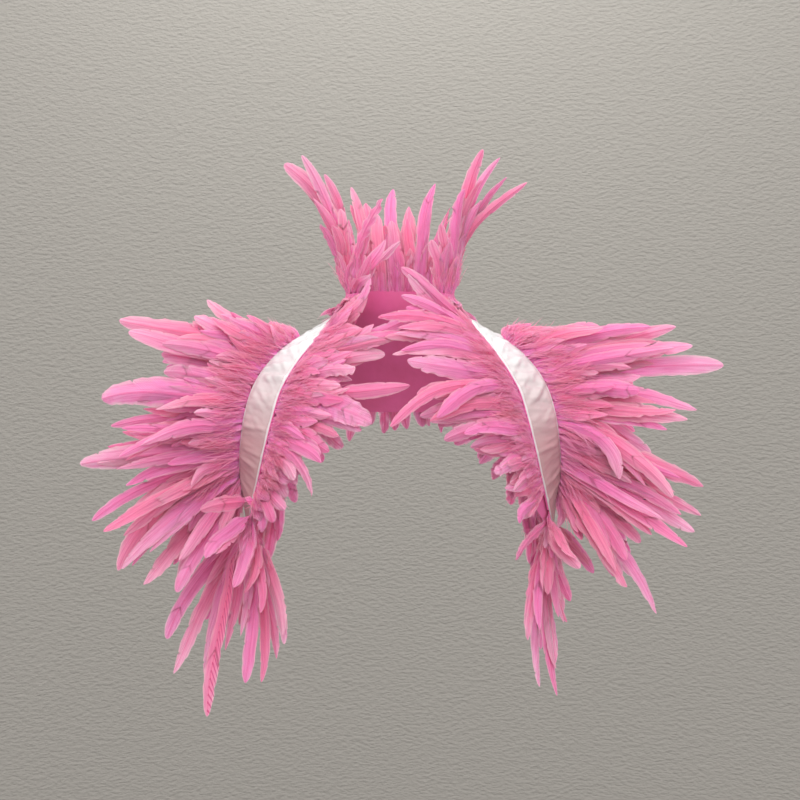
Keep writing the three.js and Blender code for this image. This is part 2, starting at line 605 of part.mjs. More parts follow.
// Feathers that lie over the chest or the back from a band's inner edge. aim 0 points at the middle.
function bodyFeathers(table, span, facing) {
  return table.map((row) => {
    const { base, root, flat } = quillPlaces(along(span[0], span[1], row.at), -1);
    const aim = vec(-Math.cos(rad(row.aim)), 0, Math.sin(rad(row.aim)));
    const up = vec(Math.sin(rad(row.aim)), 0, Math.cos(rad(row.aim)));
    const over = (share, bulge, lift) => {
      const place = root.clone().addScaledVector(aim, row.reach * share).addScaledVector(up, bulge);
      const depth = Math.max(facing * -figureDepth(place.x, place.z, facing), facing * -root.y);
      place.y = -facing * (depth + lift);
      return place;
    };
    const tip = over(1, 0, 5 + row.splay);
    const middle = over(0.5, rise(row.reach, row.droop), 8 + row.splay * 0.7);
    const face = figureNormal(middle).add(vec(0, -facing, 0)).normalize();
    return { base, root, flat, middle, tip, face, wide: row.wide };
  });
}

// A tape that runs level round the figure, between two turns.
function levelTape({ low, high, lift }, from, to, rows) {
  const face = (height) =>
    grid(rows, 2, (r, c) => {
      const place = figurePoint(along(from, to, r), along(low, high, c));
      return place.addScaledVector(figureNormal(place), height);
    });
  return facingOut(wall(face(lift + TRIM_THICK), face(lift)));
}

// A place inside such a tape, at a share of its height.
function inTape({ low, high, lift }, turn, share) {
  const ends = [low, high].map((level) => {
    const place = figurePoint(turn, level);
    return place.addScaledVector(figureNormal(place), lift + TRIM_THICK / 2);
  });
  return ends[0].lerp(ends[1], share);
}

// The collar's feathers lie against the neck and then lean out.
const COLLAR_TAPE = { low: 18, high: 25, lift: CLOTH_THICK + 0.9 };

const collarTape = () =>
  levelTape(COLLAR_TAPE, rad(COLLAR_FRONT - 1), -Math.PI - rad(COLLAR_FRONT - 1), 25);

function collarFeathers() {
  return COLLAR_ROW.map((row) => {
    const turn = rad(row.turn);
    const out = vec(Math.cos(turn), -Math.sin(turn), 0);
    const round = vec(-Math.sin(turn), -Math.cos(turn), 0);
    const base = inTape(COLLAR_TAPE, turn, 0.45);
    const root = inTape(COLLAR_TAPE, turn, 1.2);
    const rising = Math.sqrt(row.reach ** 2 - row.flare ** 2 - row.sweep ** 2);
    const tip = root
      .clone()
      .addScaledVector(out, row.flare)
      .addScaledVector(round, row.sweep)
      .add(vec(0, 0, rising));
    const middle = root
      .clone()
      .addScaledVector(out, 2 + row.flare * 0.2)
      .addScaledVector(round, row.sweep * 0.4)
      .add(vec(0, 0, rising * 0.52));
    const sideways = Math.cos(turn) ** 2;
    const face = out.clone().add(vec(0, -0.9 * sideways, 0)).normalize();
    return { base, root, flat: out, middle, tip, face, wide: row.wide };
  });
}

// The nape's feathers hang down the back from a tape across the top of the yoke.
const NAPE_TAPE = { low: -21, high: -14, lift: CLOTH_THICK + 0.9 };

const napeTape = () =>
  levelTape(NAPE_TAPE, rad(NAPE.spread) - Math.PI / 2, -rad(NAPE.spread) - Math.PI / 2, 17);

function napeFeathers() {
  return Array.from({ length: NAPE.count }, (_, i) => {
    const share = (2 * (i + 0.5)) / NAPE.count - 1;
    const turn = -Math.PI / 2 - rad(NAPE.spread - 3) * share;
    const base = inTape(NAPE_TAPE, turn, 0.5);
    const root = inTape(NAPE_TAPE, turn, -0.2);
    const reach = NAPE.reach * (1 + NAPE.uneven * (2 * uneven(700 + i) - 1));
    const lean = rad(NAPE.fan * share);
    const lift = i % 2 ? 24 : 33;
    const over = (part, out) => {
      const place = vec(root.x - Math.sin(lean) * reach * part, 0, root.z - Math.cos(lean) * reach * part);
      place.y = figureDepth(place.x, place.z, -1) + out;
      return place;
    };
    const tip = over(1, lift);
    const middle = over(0.5, lift * 0.9);
    const face = figureNormal(middle);
    return { base, root, flat: figureNormal(base), middle, tip, face, wide: NAPE.wide };
  });
}

// The whole cape.
const cape = new THREE.Group();

function add(name, geometry, look) {
  const mesh = new THREE.Mesh(geometry, new THREE.MeshStandardMaterial(look));
  mesh.name = name;
  cape.add(mesh);
}

add("collar", collar(), BASE);
add("yoke_back", backYoke(), BASE);
add("fringe_collar", fringe(collarTape(), collarFeathers()), FEATHER);
add("fringe_nape", fringe(napeTape(), napeFeathers()), FEATHER);

const SIDES = [
  { name: "left", side: 1, shoulder: SHOULDER_LEFT_ARM, chest: CHEST_LEFT, underarm: UNDERARM_LEFT },
  { name: "right", side: -1, shoulder: SHOULDER_RIGHT_ARM, chest: CHEST_RIGHT, underarm: UNDERARM_RIGHT },
];
const SEAM = 0.0015;

// A row of feathers along a part of the ring: its tape, and its feathers as solids.
function bandRow(span, edge, feathers) {
  return fringe(tape(...span, edge), feathers);
}

for (const { name, side, shoulder, chest, underarm } of SIDES) {
  const put = (node, geometry, look) => add(`${node}_${name}`, mirrored(geometry, side), look);
  const behind = evenRows(SHOULDER_BEHIND, 200 + 50 * side);
  const rows = [
    ["fringe_shoulder_front", SHOULDER_FRONT_SPAN, 1, armFeathers(shoulder, SHOULDER_FRONT_SPAN, 1, 1)],
    ["fringe_shoulder_back", SHOULDER_BACK_SPAN, 1, armFeathers(behind, SHOULDER_BACK_SPAN, 1, -1)],
    ["fringe_chest", CHEST_SPAN, -1, bodyFeathers(chest, CHEST_SPAN, 1)],
    ["fringe_underarm", UNDERARM_SPAN, -1, armFeathers(underarm, UNDERARM_SPAN, -1, 1)],
    ["fringe_back", BACK_SPAN, -1, bodyFeathers(BACK_INNER, BACK_SPAN, -1)],
  ];
  put("band_front", bandHalf(SEAM, 1 - SEAM), SATIN);
  put("band_back", bandHalf(1 + SEAM, 2 - SEAM), SATIN);
  put("panel_front", frontPanel(), BASE);
  for (const [node, span, edge, feathers] of rows) put(node, bandRow(span, edge, feathers), FEATHER);
}

export default cape;
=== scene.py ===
"""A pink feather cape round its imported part: satin armhole bands, base cloth and rows of dyed feathers.

Shapes are worked out in millimetres in the part's frame: +Z up, the front faces -Y, the wearer's left
is at +X.
"""

import math
from functools import partial

import bpy
import numpy as np
from bpy.props import FloatProperty, FloatVectorProperty, PointerProperty
from bpy.types import Operator, Panel, PropertyGroup
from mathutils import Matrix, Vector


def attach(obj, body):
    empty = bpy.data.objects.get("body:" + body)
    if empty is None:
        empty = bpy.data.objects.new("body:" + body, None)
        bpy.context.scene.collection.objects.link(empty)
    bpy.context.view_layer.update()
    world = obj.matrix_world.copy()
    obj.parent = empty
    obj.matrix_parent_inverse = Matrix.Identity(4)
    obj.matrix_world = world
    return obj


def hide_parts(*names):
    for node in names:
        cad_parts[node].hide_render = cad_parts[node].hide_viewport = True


bl_info = {
    "name": "Feather cape",
    "version": (1, 0, 0),
    "blender": (4, 5, 0),
    "location": "View3D > Sidebar > Cape",
    "description": "Builds a worn feather cape with satin bands",
    "category": "Object",
}

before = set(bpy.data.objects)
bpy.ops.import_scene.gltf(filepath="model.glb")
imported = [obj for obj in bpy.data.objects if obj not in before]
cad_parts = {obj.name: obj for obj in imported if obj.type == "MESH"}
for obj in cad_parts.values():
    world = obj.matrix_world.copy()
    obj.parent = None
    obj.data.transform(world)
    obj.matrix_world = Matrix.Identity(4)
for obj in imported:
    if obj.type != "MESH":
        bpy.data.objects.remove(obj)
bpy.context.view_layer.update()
BODY = "root"
MM = 0.001
# Surface coordinates: the second counts 400 mm along a piece, the first of a feather 60 mm across it.
UV_ALONG, UV_ACROSS = 400, 60
# A wave texture's period is 2 pi / 20 over its scale, so this over a spacing in metres is the scale to
# set on surface coordinates.
WAVES = 0.314 * 0.4
# Points along and across each cloth piece's surface.
BAND_GRID, PANEL_GRID, YOKE_GRID = (181, 25), (61, 25), (41, 61)
COLLAR_GRID, TAPE_GRID = (121, 13), (97, 5)

# The figure's sections: half widths and depths at each level, and how square each one is.
FIGURE = np.array(
    [
        (70, 50, 42, 58, 2.0),
        (40, 52, 48, 56, 2.0),
        (14, 56, 54, 58, 2.0),
        (0, 69, 60, 62, 2.1),
        (-11, 84, 66, 67, 2.2),
        (-23, 105, 74, 73, 2.3),
        (-40, 131, 84, 80, 2.4),
        (-60, 152, 94, 87, 2.5),
        (-90, 165, 103, 93, 2.7),
        (-125, 165, 108, 95, 2.9),
        (-160, 161, 107, 93, 3.0),
        (-200, 156, 102, 88, 2.9),
        (-250, 148, 96, 82, 2.7),
    ],
    dtype=[("level", float), ("side", float), ("front", float), ("back", float), ("square", float)],
)
# The middle line of a band, as it shows from the front and from the back.
BAND_FRONT = ((96, -25), (116, -48), (131, -73), (139, -100), (145, -130), (150, -160), (154, -184))
BAND_BACK = ((153, -182), (148, -158), (142, -130), (136, -100), (128, -72), (114, -46), (97, -25))
BAND_TOP = (84, 0, -11)
BAND_UNDERARM = (157, 0, -198)

# The front panel's free edge: degrees round from the side, and how much higher it lies than at the band.
FRONT_PANEL = np.array(
    [
        (0.03, 49, 6),
        (0.14, 52, 0),
        (0.3, 51, 0),
        (0.45, 49, 0),
        (0.6, 44, 0),
        (0.8, 34, 0),
        (0.95, 20, 0),
    ],
    dtype=[("at", float), ("turn", float), ("up", float)],
)
YOKE_NECK, YOKE_LOW, YOKE_HIGH = 2.4, 1.52, 1.97
COLLAR_BOTTOM, COLLAR_TOP, COLLAR_DROP, COLLAR_FRONT = 2.3, 34, 10, 46
NECK_RADIUS = 70
# How wide each cloth is, for its puckers, and the spacing and height of these.
PANEL_PUCKERS, YOKE_PUCKERS, COLLAR_PUCKERS = (60, 14, 0.35), (240, 16, 0.35), (260, 12, 0.3)

CLOTH_THICK, BAND_THICK, BAND_WIDTH = 1.5, 1.3, 40
TRIM_WIDTH, TRIM_THICK, TRIM_TUCK, TRIM_LIFT = 7, 1.5, 3, 1.8
BAND_LIFT = TRIM_LIFT + TRIM_THICK + 0.4
ROOT_CLEAR, PANEL_TUCK, SEAM = 1.5, 7, 0.0015
CLOTH_EDGE = PANEL_TUCK - BAND_WIDTH / 2
# A band's edge seams: their place in from the edge, width and depth; how far its edges roll down; the
# deepest dent; how far its creases fade at the ends; and the height and spacing of its crumples.
SEAM_IN, SEAM_BROAD, SEAM_DEEP, EDGE_ROLL, DEEPEST, END_FADE = 3, 0.8, 0.35, 1.1, -0.7, 6
CRUMPLE, CRUMPLE_RUN = 0.32, 12

SHOULDER_FRONT_SPAN, SHOULDER_BACK_SPAN = (0.04, 0.9), (1.12, 1.96)
CHEST_SPAN, UNDERARM_SPAN, BACK_SPAN = (0.09, 0.85), (0.86, 1.14), (1.15, 1.8)

# The feathers. at: place along the row's tape; aim: degrees above level; reach: root to tip; droop:
# degrees that it turns down along its length; splay: how far the tip stands out of the row; wide: its
# widest. In the six tables from SHOULDER_RIGHT_ARM to UNDERARM_LEFT, another program worked out aim,
# reach and droop of 87 of the 96 rows from tips and middles read off the photograph, and they were rounded.
FEATHER = [
    ("at", float), ("aim", float), ("reach", float), ("droop", float), ("splay", float), ("wide", float)
]
SHOULDER_RIGHT_ARM = np.array(
    [
        (0.03, 14, 38, 56, -6, 12), (0.09, 22, 60, 40, 4, 14), (0.145, 31, 96, -12, -10, 14),
        (0.2, 23, 92, 4, 12, 21), (0.255, 16, 160, 24, -2, 23), (0.31, 16, 140, 16, 10, 19),
        (0.365, 16, 100, 8, -8, 22), (0.42, 15, 88, 12, 4, 18), (0.48, 1, 142, 24, 16, 29),
        (0.535, -5, 136, -4, -4, 12), (0.58, -4, 120, -16, 8, 11), (0.625, -13, 120, 40, 24, 14),
        (0.675, -2, 136, 8, -6, 14), (0.73, -5, 160, 8, 10, 23), (0.785, -23, 164, 28, -4, 13),
        (0.825, -27, 148, 16, 22, 14), (0.865, -39, 160, 56, 2, 20), (0.9, -40, 148, 36, 26, 18),
        (0.94, -48, 144, 8, 6, 20), (0.98, -60, 126, 8, 28, 16),
    ],
    dtype=FEATHER,
)
SHOULDER_LEFT_ARM = np.array(
    [
        (0.03, 20, 34, 56, -6, 12), (0.09, 14, 52, 56, 4, 14), (0.145, 12, 92, 24, -10, 16),
        (0.2, 12, 132, 8, 12, 15), (0.255, 13, 152, 8, -2, 18), (0.31, 10, 156, 8, 14, 21),
        (0.375, 6, 180, 12, 0, 22), (0.43, 5, 88, 8, 14, 18), (0.485, -2, 144, 40, -6, 18),
        (0.53, -2, 132, 8, 8, 18), (0.58, -36, 132, 56, 22, 17), (0.625, -21, 106, 20, -2, 14),
        (0.675, -19, 152, 8, 10, 20), (0.725, -25, 160, 8, -6, 18), (0.78, -30, 152, 8, 12, 20),
        (0.825, -34, 148, 8, 28, 15), (0.87, -41, 108, 8, 0, 15), (0.915, -55, 168, 24, 18, 19),
        (0.95, -58, 124, 8, 32, 21),
    ],
    dtype=FEATHER,
)
CHEST_RIGHT = np.array(
    [
        (0.02, 41, 72, -24, 4, 12), (0.07, 7, 52, 44, 10, 15), (0.12, 18, 122, -24, 4, 13),
        (0.18, 13, 104, 12, 10, 15), (0.24, 11, 92, 0, 4, 14), (0.3, 6, 68, 8, 10, 15),
        (0.37, 2, 126, -16, 4, 15), (0.44, -11, 96, 24, 10, 25), (0.5, -11, 88, 28, 4, 18),
        (0.57, -22, 64, 36, 11, 16), (0.64, -45, 70, 56, 4, 14), (0.71, -28, 40, 20, 11, 16),
        (0.78, -48, 38, 20, 4, 15), (0.86, -66, 38, 16, 10, 13), (0.95, -172, 52, -24, 16, 16),
    ],
    dtype=FEATHER,
)
CHEST_LEFT = np.array(
    [
        (0.02, 39, 98, 0, 22, 13), (0.07, 26, 92, 24, 16, 12), (0.12, 14, 116, 56, 22, 13),
        (0.18, 10, 116, 44, 16, 16), (0.24, 7, 114, 56, 24, 17), (0.3, 7, 104, 8, 16, 20),
        (0.36, -15, 132, 56, 38, 12), (0.43, 0, 102, 44, 12, 18), (0.49, -3, 104, 40, 22, 15),
        (0.55, -1, 96, 36, 14, 18), (0.61, -1, 88, 40, 27, 17), (0.67, 2, 64, 20, 11, 17),
        (0.74, -6, 46, 16, 20, 16), (0.81, -22, 38, 16, 11, 14), (0.89, -44, 40, 16, 18, 12),
    ],
    dtype=FEATHER,
)
UNDERARM_RIGHT = np.array(
    [
        (0.03, -46, 60, 32, 14, 17), (0.1, -80, 68, -24, 20, 17), (0.17, -96, 90, -24, 15, 12),
        (0.24, -108, 124, -24, 20, 12), (0.31, -89, 158, -24, 14, 16), (0.38, -97, 156, -24, 18, 15),
        (0.45, -78, 194, 8, 12, 14), (0.52, -74, 160, 28, 16, 19), (0.59, -63, 172, 16, 10, 20),
        (0.66, -53, 150, 36, 13, 17), (0.73, -77, 132, 8, 6, 18), (0.8, -63, 124, 4, 9, 17),
        (0.88, -86, 152, 12, 2, 16), (0.96, -75, 118, 12, 5, 15),
    ],
    dtype=FEATHER,
)
UNDERARM_LEFT = np.array(
    [
        (0.03, -66, 60, -12, 14, 16), (0.1, -132, 52, -24, 36, 10), (0.17, -93, 72, -24, 16, 14),
        (0.25, -102, 116, -24, 24, 14), (0.32, -96, 162, -24, 16, 14), (0.4, -89, 170, -24, 20, 15),
        (0.48, -89, 138, -24, 12, 16), (0.56, -86, 128, -24, 16, 16), (0.64, -78, 104, -24, 9, 15),
        (0.72, -43, 76, 12, 12, 16), (0.8, -89, 144, 4, 4, 16), (0.88, -78, 112, 0, 8, 16),
        (0.96, -89, 126, 24, 2, 15),
    ],
    dtype=FEATHER,
)
BACK_INNER = np.array(
    [
        (0.03, -104, 120, 8, 10, 15), (0.14, -96, 96, 8, 3, 15), (0.25, -76, 48, 16, 9, 14),
        (0.36, -62, 44, 16, 3, 15), (0.46, -48, 52, 16, 9, 17), (0.56, -34, 66, 20, 3, 18),
        (0.66, -24, 78, 20, 9, 18), (0.76, -17, 78, 20, 3, 18), (0.86, -14, 66, 20, 9, 17),
        (0.96, -12, 52, 16, 3, 15),
    ],
    dtype=FEATHER,
)
# The collar's row. turn: degrees round from the wearer's left; flare: how far the tip leans out; sweep:
# how far it leans sideways.
COLLAR_ROW = np.array(
    [
        (43, 54, 0, 12, 13), (33, 72, 8, 14, 11), (22, 108, 12, 2, 12), (10, 152, 32, 4, 16),
        (-2, 142, 74, 4, 11), (-13, 158, 52, -2, 16), (-26, 128, 40, -4, 16), (-40, 138, 34, 3, 17),
        (-54, 120, 46, -3, 17), (-68, 134, 38, 3, 17), (-82, 118, 48, -3, 17), (-97, 132, 40, 3, 17),
        (-111, 120, 48, -3, 17), (-125, 134, 38, 3, 17), (-139, 124, 46, -3, 17), (-153, 140, 36, 3, 16),
        (-166, 156, 42, -2, 14), (-178, 154, 66, 2, 20), (-190, 150, 50, -4, 13), (-201, 86, 18, -4, 14),
        (-212, 104, -8, -44, 11), (-223, 74, 2, -58, 9),
    ],
    dtype=[("turn", float), ("reach", float), ("flare", float), ("sweep", float), ("wide", float)],
)
COLLAR_TAPE = (18, 25, CLOTH_THICK + 0.9)
NAPE_TAPE = (-21, -14, CLOTH_THICK + 0.9)
NAPE_COUNT, NAPE_SPREAD, NAPE_REACH, NAPE_FAN, NAPE_UNEVEN, NAPE_WIDE = 10, 44, 100, 10, 0.12, 18
NAPE_LIFTS = (33, 24)
# The plain row behind a shoulder: its feathers' number, aim from low to high, reach and how uneven it
# is, droop, width and splays.
BEHIND_COUNT, BEHIND_AIM, BEHIND_REACH, BEHIND_UNEVEN = 18, (-60, 4), 132, 0.12
BEHIND_DROOP, BEHIND_WIDE, BEHIND_SPLAY = 16, 19, (-8, 7, 22)
# The skirt under the collar: its feathers' number and seed, where it starts and how far round it goes in
# degrees, and the level of its tips in front and behind, with how uneven they are.
SKIRT_COUNT, SKIRT_SEED, SKIRT_START, SKIRT_ROUND = 70, 7300, 44, 268
SKIRT_LOW, SKIRT_UNEVEN, SKIRT_LIFT = (15, -9), (7, 13), (3, 7)
# Rings of points along a feather of a row's own, and its downy strands.
OWN_STATIONS, OWN_DOWN = 26, 12

# Creases of a band. at: place down it from the neck; slant: degrees from straight across; high: height
# of the ridge, or depth of the trough where it is below 0; broad: its width along the band.
CREASE = [("at", float), ("slant", float), ("high", float), ("broad", float)]
CREASES_RIGHT = np.array(
    [
        (0.1, 30, 0.7, 5), (0.14, 20, -0.6, 4), (0.18, 35, 0.8, 6), (0.235, -12, -0.8, 5),
        (0.27, 24, 0.9, 6), (0.305, 8, -0.7, 4), (0.33, 14, 1.1, 6), (0.37, -10, -0.6, 6),
        (0.43, 6, 0.5, 7), (0.49, -6, -0.6, 5), (0.55, 3, 0.7, 3), (0.6, -3, -0.5, 5), (0.645, 2, 0.6, 3),
        (0.69, 0, 0.7, 3), (0.74, 4, -0.5, 4), (0.8, -2, 0.5, 3), (0.88, 3, -0.5, 5),
    ],
    dtype=CREASE,
)
CREASES_LEFT = np.array(
    [
        (0.09, -26, 0.7, 6), (0.13, 16, -0.6, 4), (0.17, -34, 0.7, 5), (0.21, 12, -0.7, 5),
        (0.255, -22, 0.9, 6), (0.29, 14, -0.6, 4), (0.33, -26, 0.8, 5), (0.365, 20, -0.8, 5),
        (0.405, -30, 1.0, 6), (0.45, 8, -0.6, 5), (0.52, -6, 0.5, 7), (0.58, 6, -0.5, 5),
        (0.63, 2, 0.6, 3), (0.7, -3, -0.4, 4), (0.755, 3, 0.7, 3), (0.81, 0, 0.6, 3), (0.88, -3, -0.5, 4),
    ],
    dtype=CREASE,
)


def linear(hex_colour):
    """The linear RGBA of an sRGB hex colour such as #eec5d7."""
    shares = np.array([int(hex_colour[i : i + 2], 16) / 255 for i in (1, 3, 5)])
    low, high = shares / 12.92, ((shares + 0.055) / 1.055) ** 2.4
    return (*np.where(shares <= 0.04045, low, high).tolist(), 1.0)


def length(name, text, default, unit="LENGTH"):
    """A size of a property group; lengths are in metres."""
    return FloatProperty(name=name, description=text, default=default, unit=unit)


def colour(name, text, default):
    """A colour of a property group."""
    return FloatVectorProperty(
        name=name, description=text, default=linear(default), subtype="COLOR", size=4
    )


class CapeClothSizes(PropertyGroup):
    """Sizes of the satin bands and the base cloth."""

    crease: FloatProperty(
        name="Creases", description="How strong a band's creases are, 2.3 as worn", default=2.3
    )
    pucker: length("Pucker height", "Height of the fine puckers between the creases", 0.00035)
    pucker_run: length("Pucker spacing", "Distance from one fine pucker to the next", 0.009)
    stitch: length("Stitch length", "Length of a stitch in the edge seams", 0.0026)
    weave: length("Weave", "Thread spacing, drawn coarser than real satin's so that it shows", 0.0008)


class CapeFeatherSizes(PropertyGroup):
    """Sizes of the feathers."""

    vane: length("Vane thickness", "Thickness of a feather's vane", 0.00035)
    shaft: length("Shaft", "Thickness of a feather's shaft at its root", 0.0014)
    barbs: length("Barb spacing", "Distance between the barb lines, drawn coarser than real", 0.0015)
    bars: length("Bar spacing", "Distance between the dark bars of a barred feather", 0.008)
    camber: FloatProperty(
        name="Camber", description="How far a vane's edges bend back, by its width", default=0.3
    )
    down: length("Down length", "Length of the longest downy strands at the roots", 0.017)


class CapeColours(PropertyGroup):
    """Colours of the cloth, the feathers and the room."""

    satin: colour(
        "Satin", "Ivory satin of the bands, a little cool against the feathers' pink light", "#e0e6e8"
    )
    # Painted shade: the band's satin turns darker and pinker towards the underarm, for the shade there and
    # the pink light the feathers throw on it.
    satin_low: colour("Satin, low", "Satin near the underarm, stained pinkish by the dye", "#b98b90")
    base: colour("Base cloth", "Pink cloth under the feathers", "#d8608f")
    root: colour("Feather roots", "Magenta pink of the down near the tapes", "#ff7fcf")
    candy: colour("Candy pink", "Cool pink of half of the feathers", "#fb80bc")
    # The tip colour is the tips' own pale pink; the feather material also uses it to paint the vanes' edges
    # lighter, as painted light through the thin vanes.
    salmon: colour("Salmon pink", "Warm pink of the other half", "#f87aa0")
    tip: colour("Feather tips", "Pale pink of the thin tips and edges", "#f9bfd6")
    # Deep pink is the colour of shafts, bars and barb lines, and it also paints shade in the partings
    # between barbs and, in part, along the shafts.
    deep: colour("Deep pink", "Deep pink of shafts, bars and gaps", "#cc4d7c")
    room: colour("Room", "Warm grey of the wall and the floor", "#a3a19d")


def uneven(seed):
    """The same uneven numbers from 0 to 1 for the same seeds: the fraction of a steep sine."""
    wave = np.sin(np.asarray(seed, float) * 12.9898 + 4.1414) * 43758.5453
    return wave - np.floor(wave)


def mix(a, b, share):
    """From a to b by a share."""
    return a + (b - a) * share


def smooth(low, high, value):
    """0 below low, 1 above high, and 3u^2 - 2u^3 between them."""
    u = np.clip((value - low) / (high - low), 0, 1)
    return u * u * (3 - 2 * u)


def unit(vectors):
    """Vectors scaled to length 1."""
    return vectors / np.maximum(np.linalg.norm(vectors, axis=-1, keepdims=True), 1e-12)


def xyz(x, y, z):
    """Points from three arrays of coordinates."""
    return np.stack(np.broadcast_arrays(x, y, z), axis=-1).astype(float)


def read_table(table, key, column, place):
    """A smooth curve through a table's rows: cubic Hermite pieces whose slopes span both neighbours."""
    rows = np.sort(table, order=key)
    keys, values = rows[key], rows[column]
    last = len(keys) - 1
    k = np.arange(last + 1)
    before, after = np.maximum(k - 1, 0), np.minimum(k + 1, last)
    slopes = (values[after] - values[before]) / (keys[after] - keys[before])
    i = np.clip(np.searchsorted(keys, place) - 1, 0, last - 1)
    step = keys[i + 1] - keys[i]
    u = np.clip((place - keys[i]) / step, 0, 1)
    rest = 1 - u
    ends = values[i] * rest**2 * (1 + 2 * u) + values[i + 1] * u**2 * (3 - 2 * u)
    return ends + step * u * rest * (slopes[i] * rest - slopes[i + 1] * u)


def figure_point(turn, level):
    """A point of the figure: sections |x/side|^n + |y/depth|^n = 1, turn from +X towards the front."""
    turn, level = np.broadcast_arrays(np.asarray(turn, float), np.asarray(level, float))
    c, s = np.cos(turn), np.sin(turn)
    side, square = (read_table(FIGURE, "level", name, level) for name in ("side", "square"))
    front, back = (read_table(FIGURE, "level", name, level) for name in ("front", "back"))
    depth = np.where(s >= 0, front, back)
    reach = (np.abs(c / side) ** square + np.abs(s / depth) ** square) ** (-1 / square)
    return xyz(reach * c, -reach * s, level)


def turn_of(points):
    """The angle of points round the figure."""
    return np.arctan2(-points[..., 1], points[..., 0])


def figure_normal(points):
    """The direction straight out of the figure, from small steps round it and down it."""
    turn, level = turn_of(points), points[..., 2]
    run = figure_point(turn + 0.01, level) - figure_point(turn - 0.01, level)
    down = figure_point(turn, level - 0.5) - figure_point(turn, level + 0.5)
    return unit(np.cross(run, down))


def figure_depth(x, level, facing):
    """The figure's y at a place seen from the front (facing 1) or the back (facing -1)."""
    side, square = (read_table(FIGURE, "level", name, level) for name in ("side", "square"))
    depth = read_table(FIGURE, "level", "front" if facing > 0 else "back", level)
    return -facing * depth * np.maximum(0, 1 - np.abs(x / side) ** square) ** (1 / square)


def band_points():
    """The points of a band's closed middle line, on the figure."""
    halves = []
    for rows, facing in ((BAND_FRONT, 1), (BAND_BACK, -1)):
        x, z = np.array(rows, float).T
        halves.append(xyz(x, figure_depth(x, z, facing), z))
    return np.vstack([[BAND_TOP], halves[0], [BAND_UNDERARM], halves[1]])


RING = band_points()
HALFWAY = (len(BAND_FRONT) + 1) / len(RING)


def ring_curve(share):
    """A closed centripetal Catmull-Rom curve through RING, in cubics with knots at chord^(1/2)."""
    place = np.mod(share, 1.0) * len(RING)
    i = np.floor(place).astype(int)
    w = (place - i)[..., None]
    p0, p1, p2, p3 = (RING[(i + k) % len(RING)] for k in (-1, 0, 1, 2))
    d0, d1, d2 = (
        np.linalg.norm(b - a, axis=-1, keepdims=True) ** 0.5 for a, b in ((p0, p1), (p1, p2), (p2, p3))
    )
    m1 = ((p1 - p0) / d0 - (p2 - p0) / (d0 + d1) + (p2 - p1) / d1) * d1
    m2 = ((p2 - p1) / d1 - (p3 - p1) / (d1 + d2) + (p3 - p2) / d2) * d1
    return p1 + m1 * w + (3 * (p2 - p1) - 2 * m1 - m2) * w**2 + (2 * (p1 - p2) + m1 + m2) * w**3


def ring_frame(at):
    """A band's point, normal and outward edge direction at places 0 to 2 round the ring."""
    at = np.asarray(at, float)
    share = np.where(at <= 1, at * HALFWAY, mix(HALFWAY, 1, at - 1))
    point = ring_curve(share)
    run = unit(ring_curve(share + 1e-4) - ring_curve(share - 1e-4))
    normal = figure_normal(point)
    return point, normal, unit(np.cross(normal, run))


def on_ring(at, across, lift):
    """A point at a distance across from the ring's middle line and a height above the figure."""
    point, normal, outer = ring_frame(at)
    return point + outer * np.asarray(across)[..., None] + normal * np.asarray(lift)[..., None]


def ring_length(places):
    """The distance along the ring's middle line from the first of these places to each."""
    steps = np.linalg.norm(np.diff(on_ring(places, 0, 0), axis=0), axis=1)
    return np.concatenate([[0], np.cumsum(steps)])


def mirrored(points, side):
    """Points or directions moved to the wearer's right for side -1."""
    return points * np.array([side, 1, 1])


def make_mesh(name, points, faces, uv, attributes, materials, face_material=None):
    """A piece from arrays: points in millimetres, faces as (starts, sizes, corners), values per point."""
    starts, sizes, corners = faces
    mesh = bpy.data.meshes.new(name)
    mesh.vertices.add(len(points))
    mesh.vertices.foreach_set("co", (points * MM).astype(np.float32).ravel())
    mesh.loops.add(len(corners))
    mesh.loops.foreach_set("vertex_index", corners.astype(np.int32))
    mesh.polygons.add(len(starts))
    mesh.polygons.foreach_set("loop_start", starts.astype(np.int32))
    mesh.polygons.foreach_set("loop_total", sizes.astype(np.int32))
    mesh.polygons.foreach_set("use_smooth", np.ones(len(starts), bool))
    if face_material is not None:
        mesh.polygons.foreach_set("material_index", face_material.astype(np.int32))
    layer = mesh.uv_layers.new(name="surface")
    layer.data.foreach_set("uv", uv[corners].astype(np.float32).ravel())
    for key, values in attributes.items():
        made = mesh.attributes.new(key, "FLOAT_VECTOR", "POINT")
        made.data.foreach_set("vector", values.astype(np.float32).ravel())
    mesh.update(calc_edges=True)
    mesh.set_sharp_from_angle(angle=math.radians(50))
    for material in materials:
        mesh.materials.append(material)
    made = bpy.data.objects.new(name, mesh)
    bpy.context.scene.collection.objects.link(made)
    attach(made, BODY)
    return made


def join_parts(parts):
    """Several (points, faces, uv, attributes, material number) as the arguments of one mesh."""
    points = np.vstack([part[0] for part in parts])
    uv = np.vstack([part[2] for part in parts])
    keys = parts[0][3].keys()
    attributes = {key: np.vstack([part[3][key] for part in parts]) for key in keys}
    starts, sizes, corners, numbers = [], [], [], []
    first_point = first_corner = 0
    for part in parts:
        part_starts, part_sizes, part_corners = part[1]
        starts.append(part_starts + first_corner)
        sizes.append(part_sizes)
        corners.append(part_corners + first_point)
        numbers.append(np.full(len(part_starts), part[4]))
        first_point += len(part[0])
        first_corner += len(part_corners)
    faces = tuple(np.concatenate(values) for values in (starts, sizes, corners))
    return points, faces, uv, attributes, np.concatenate(numbers)


def quads(corners):
    """Faces of four corners each."""
    count = len(corners)
    return np.arange(count) * 4, np.full(count, 4), corners.ravel()


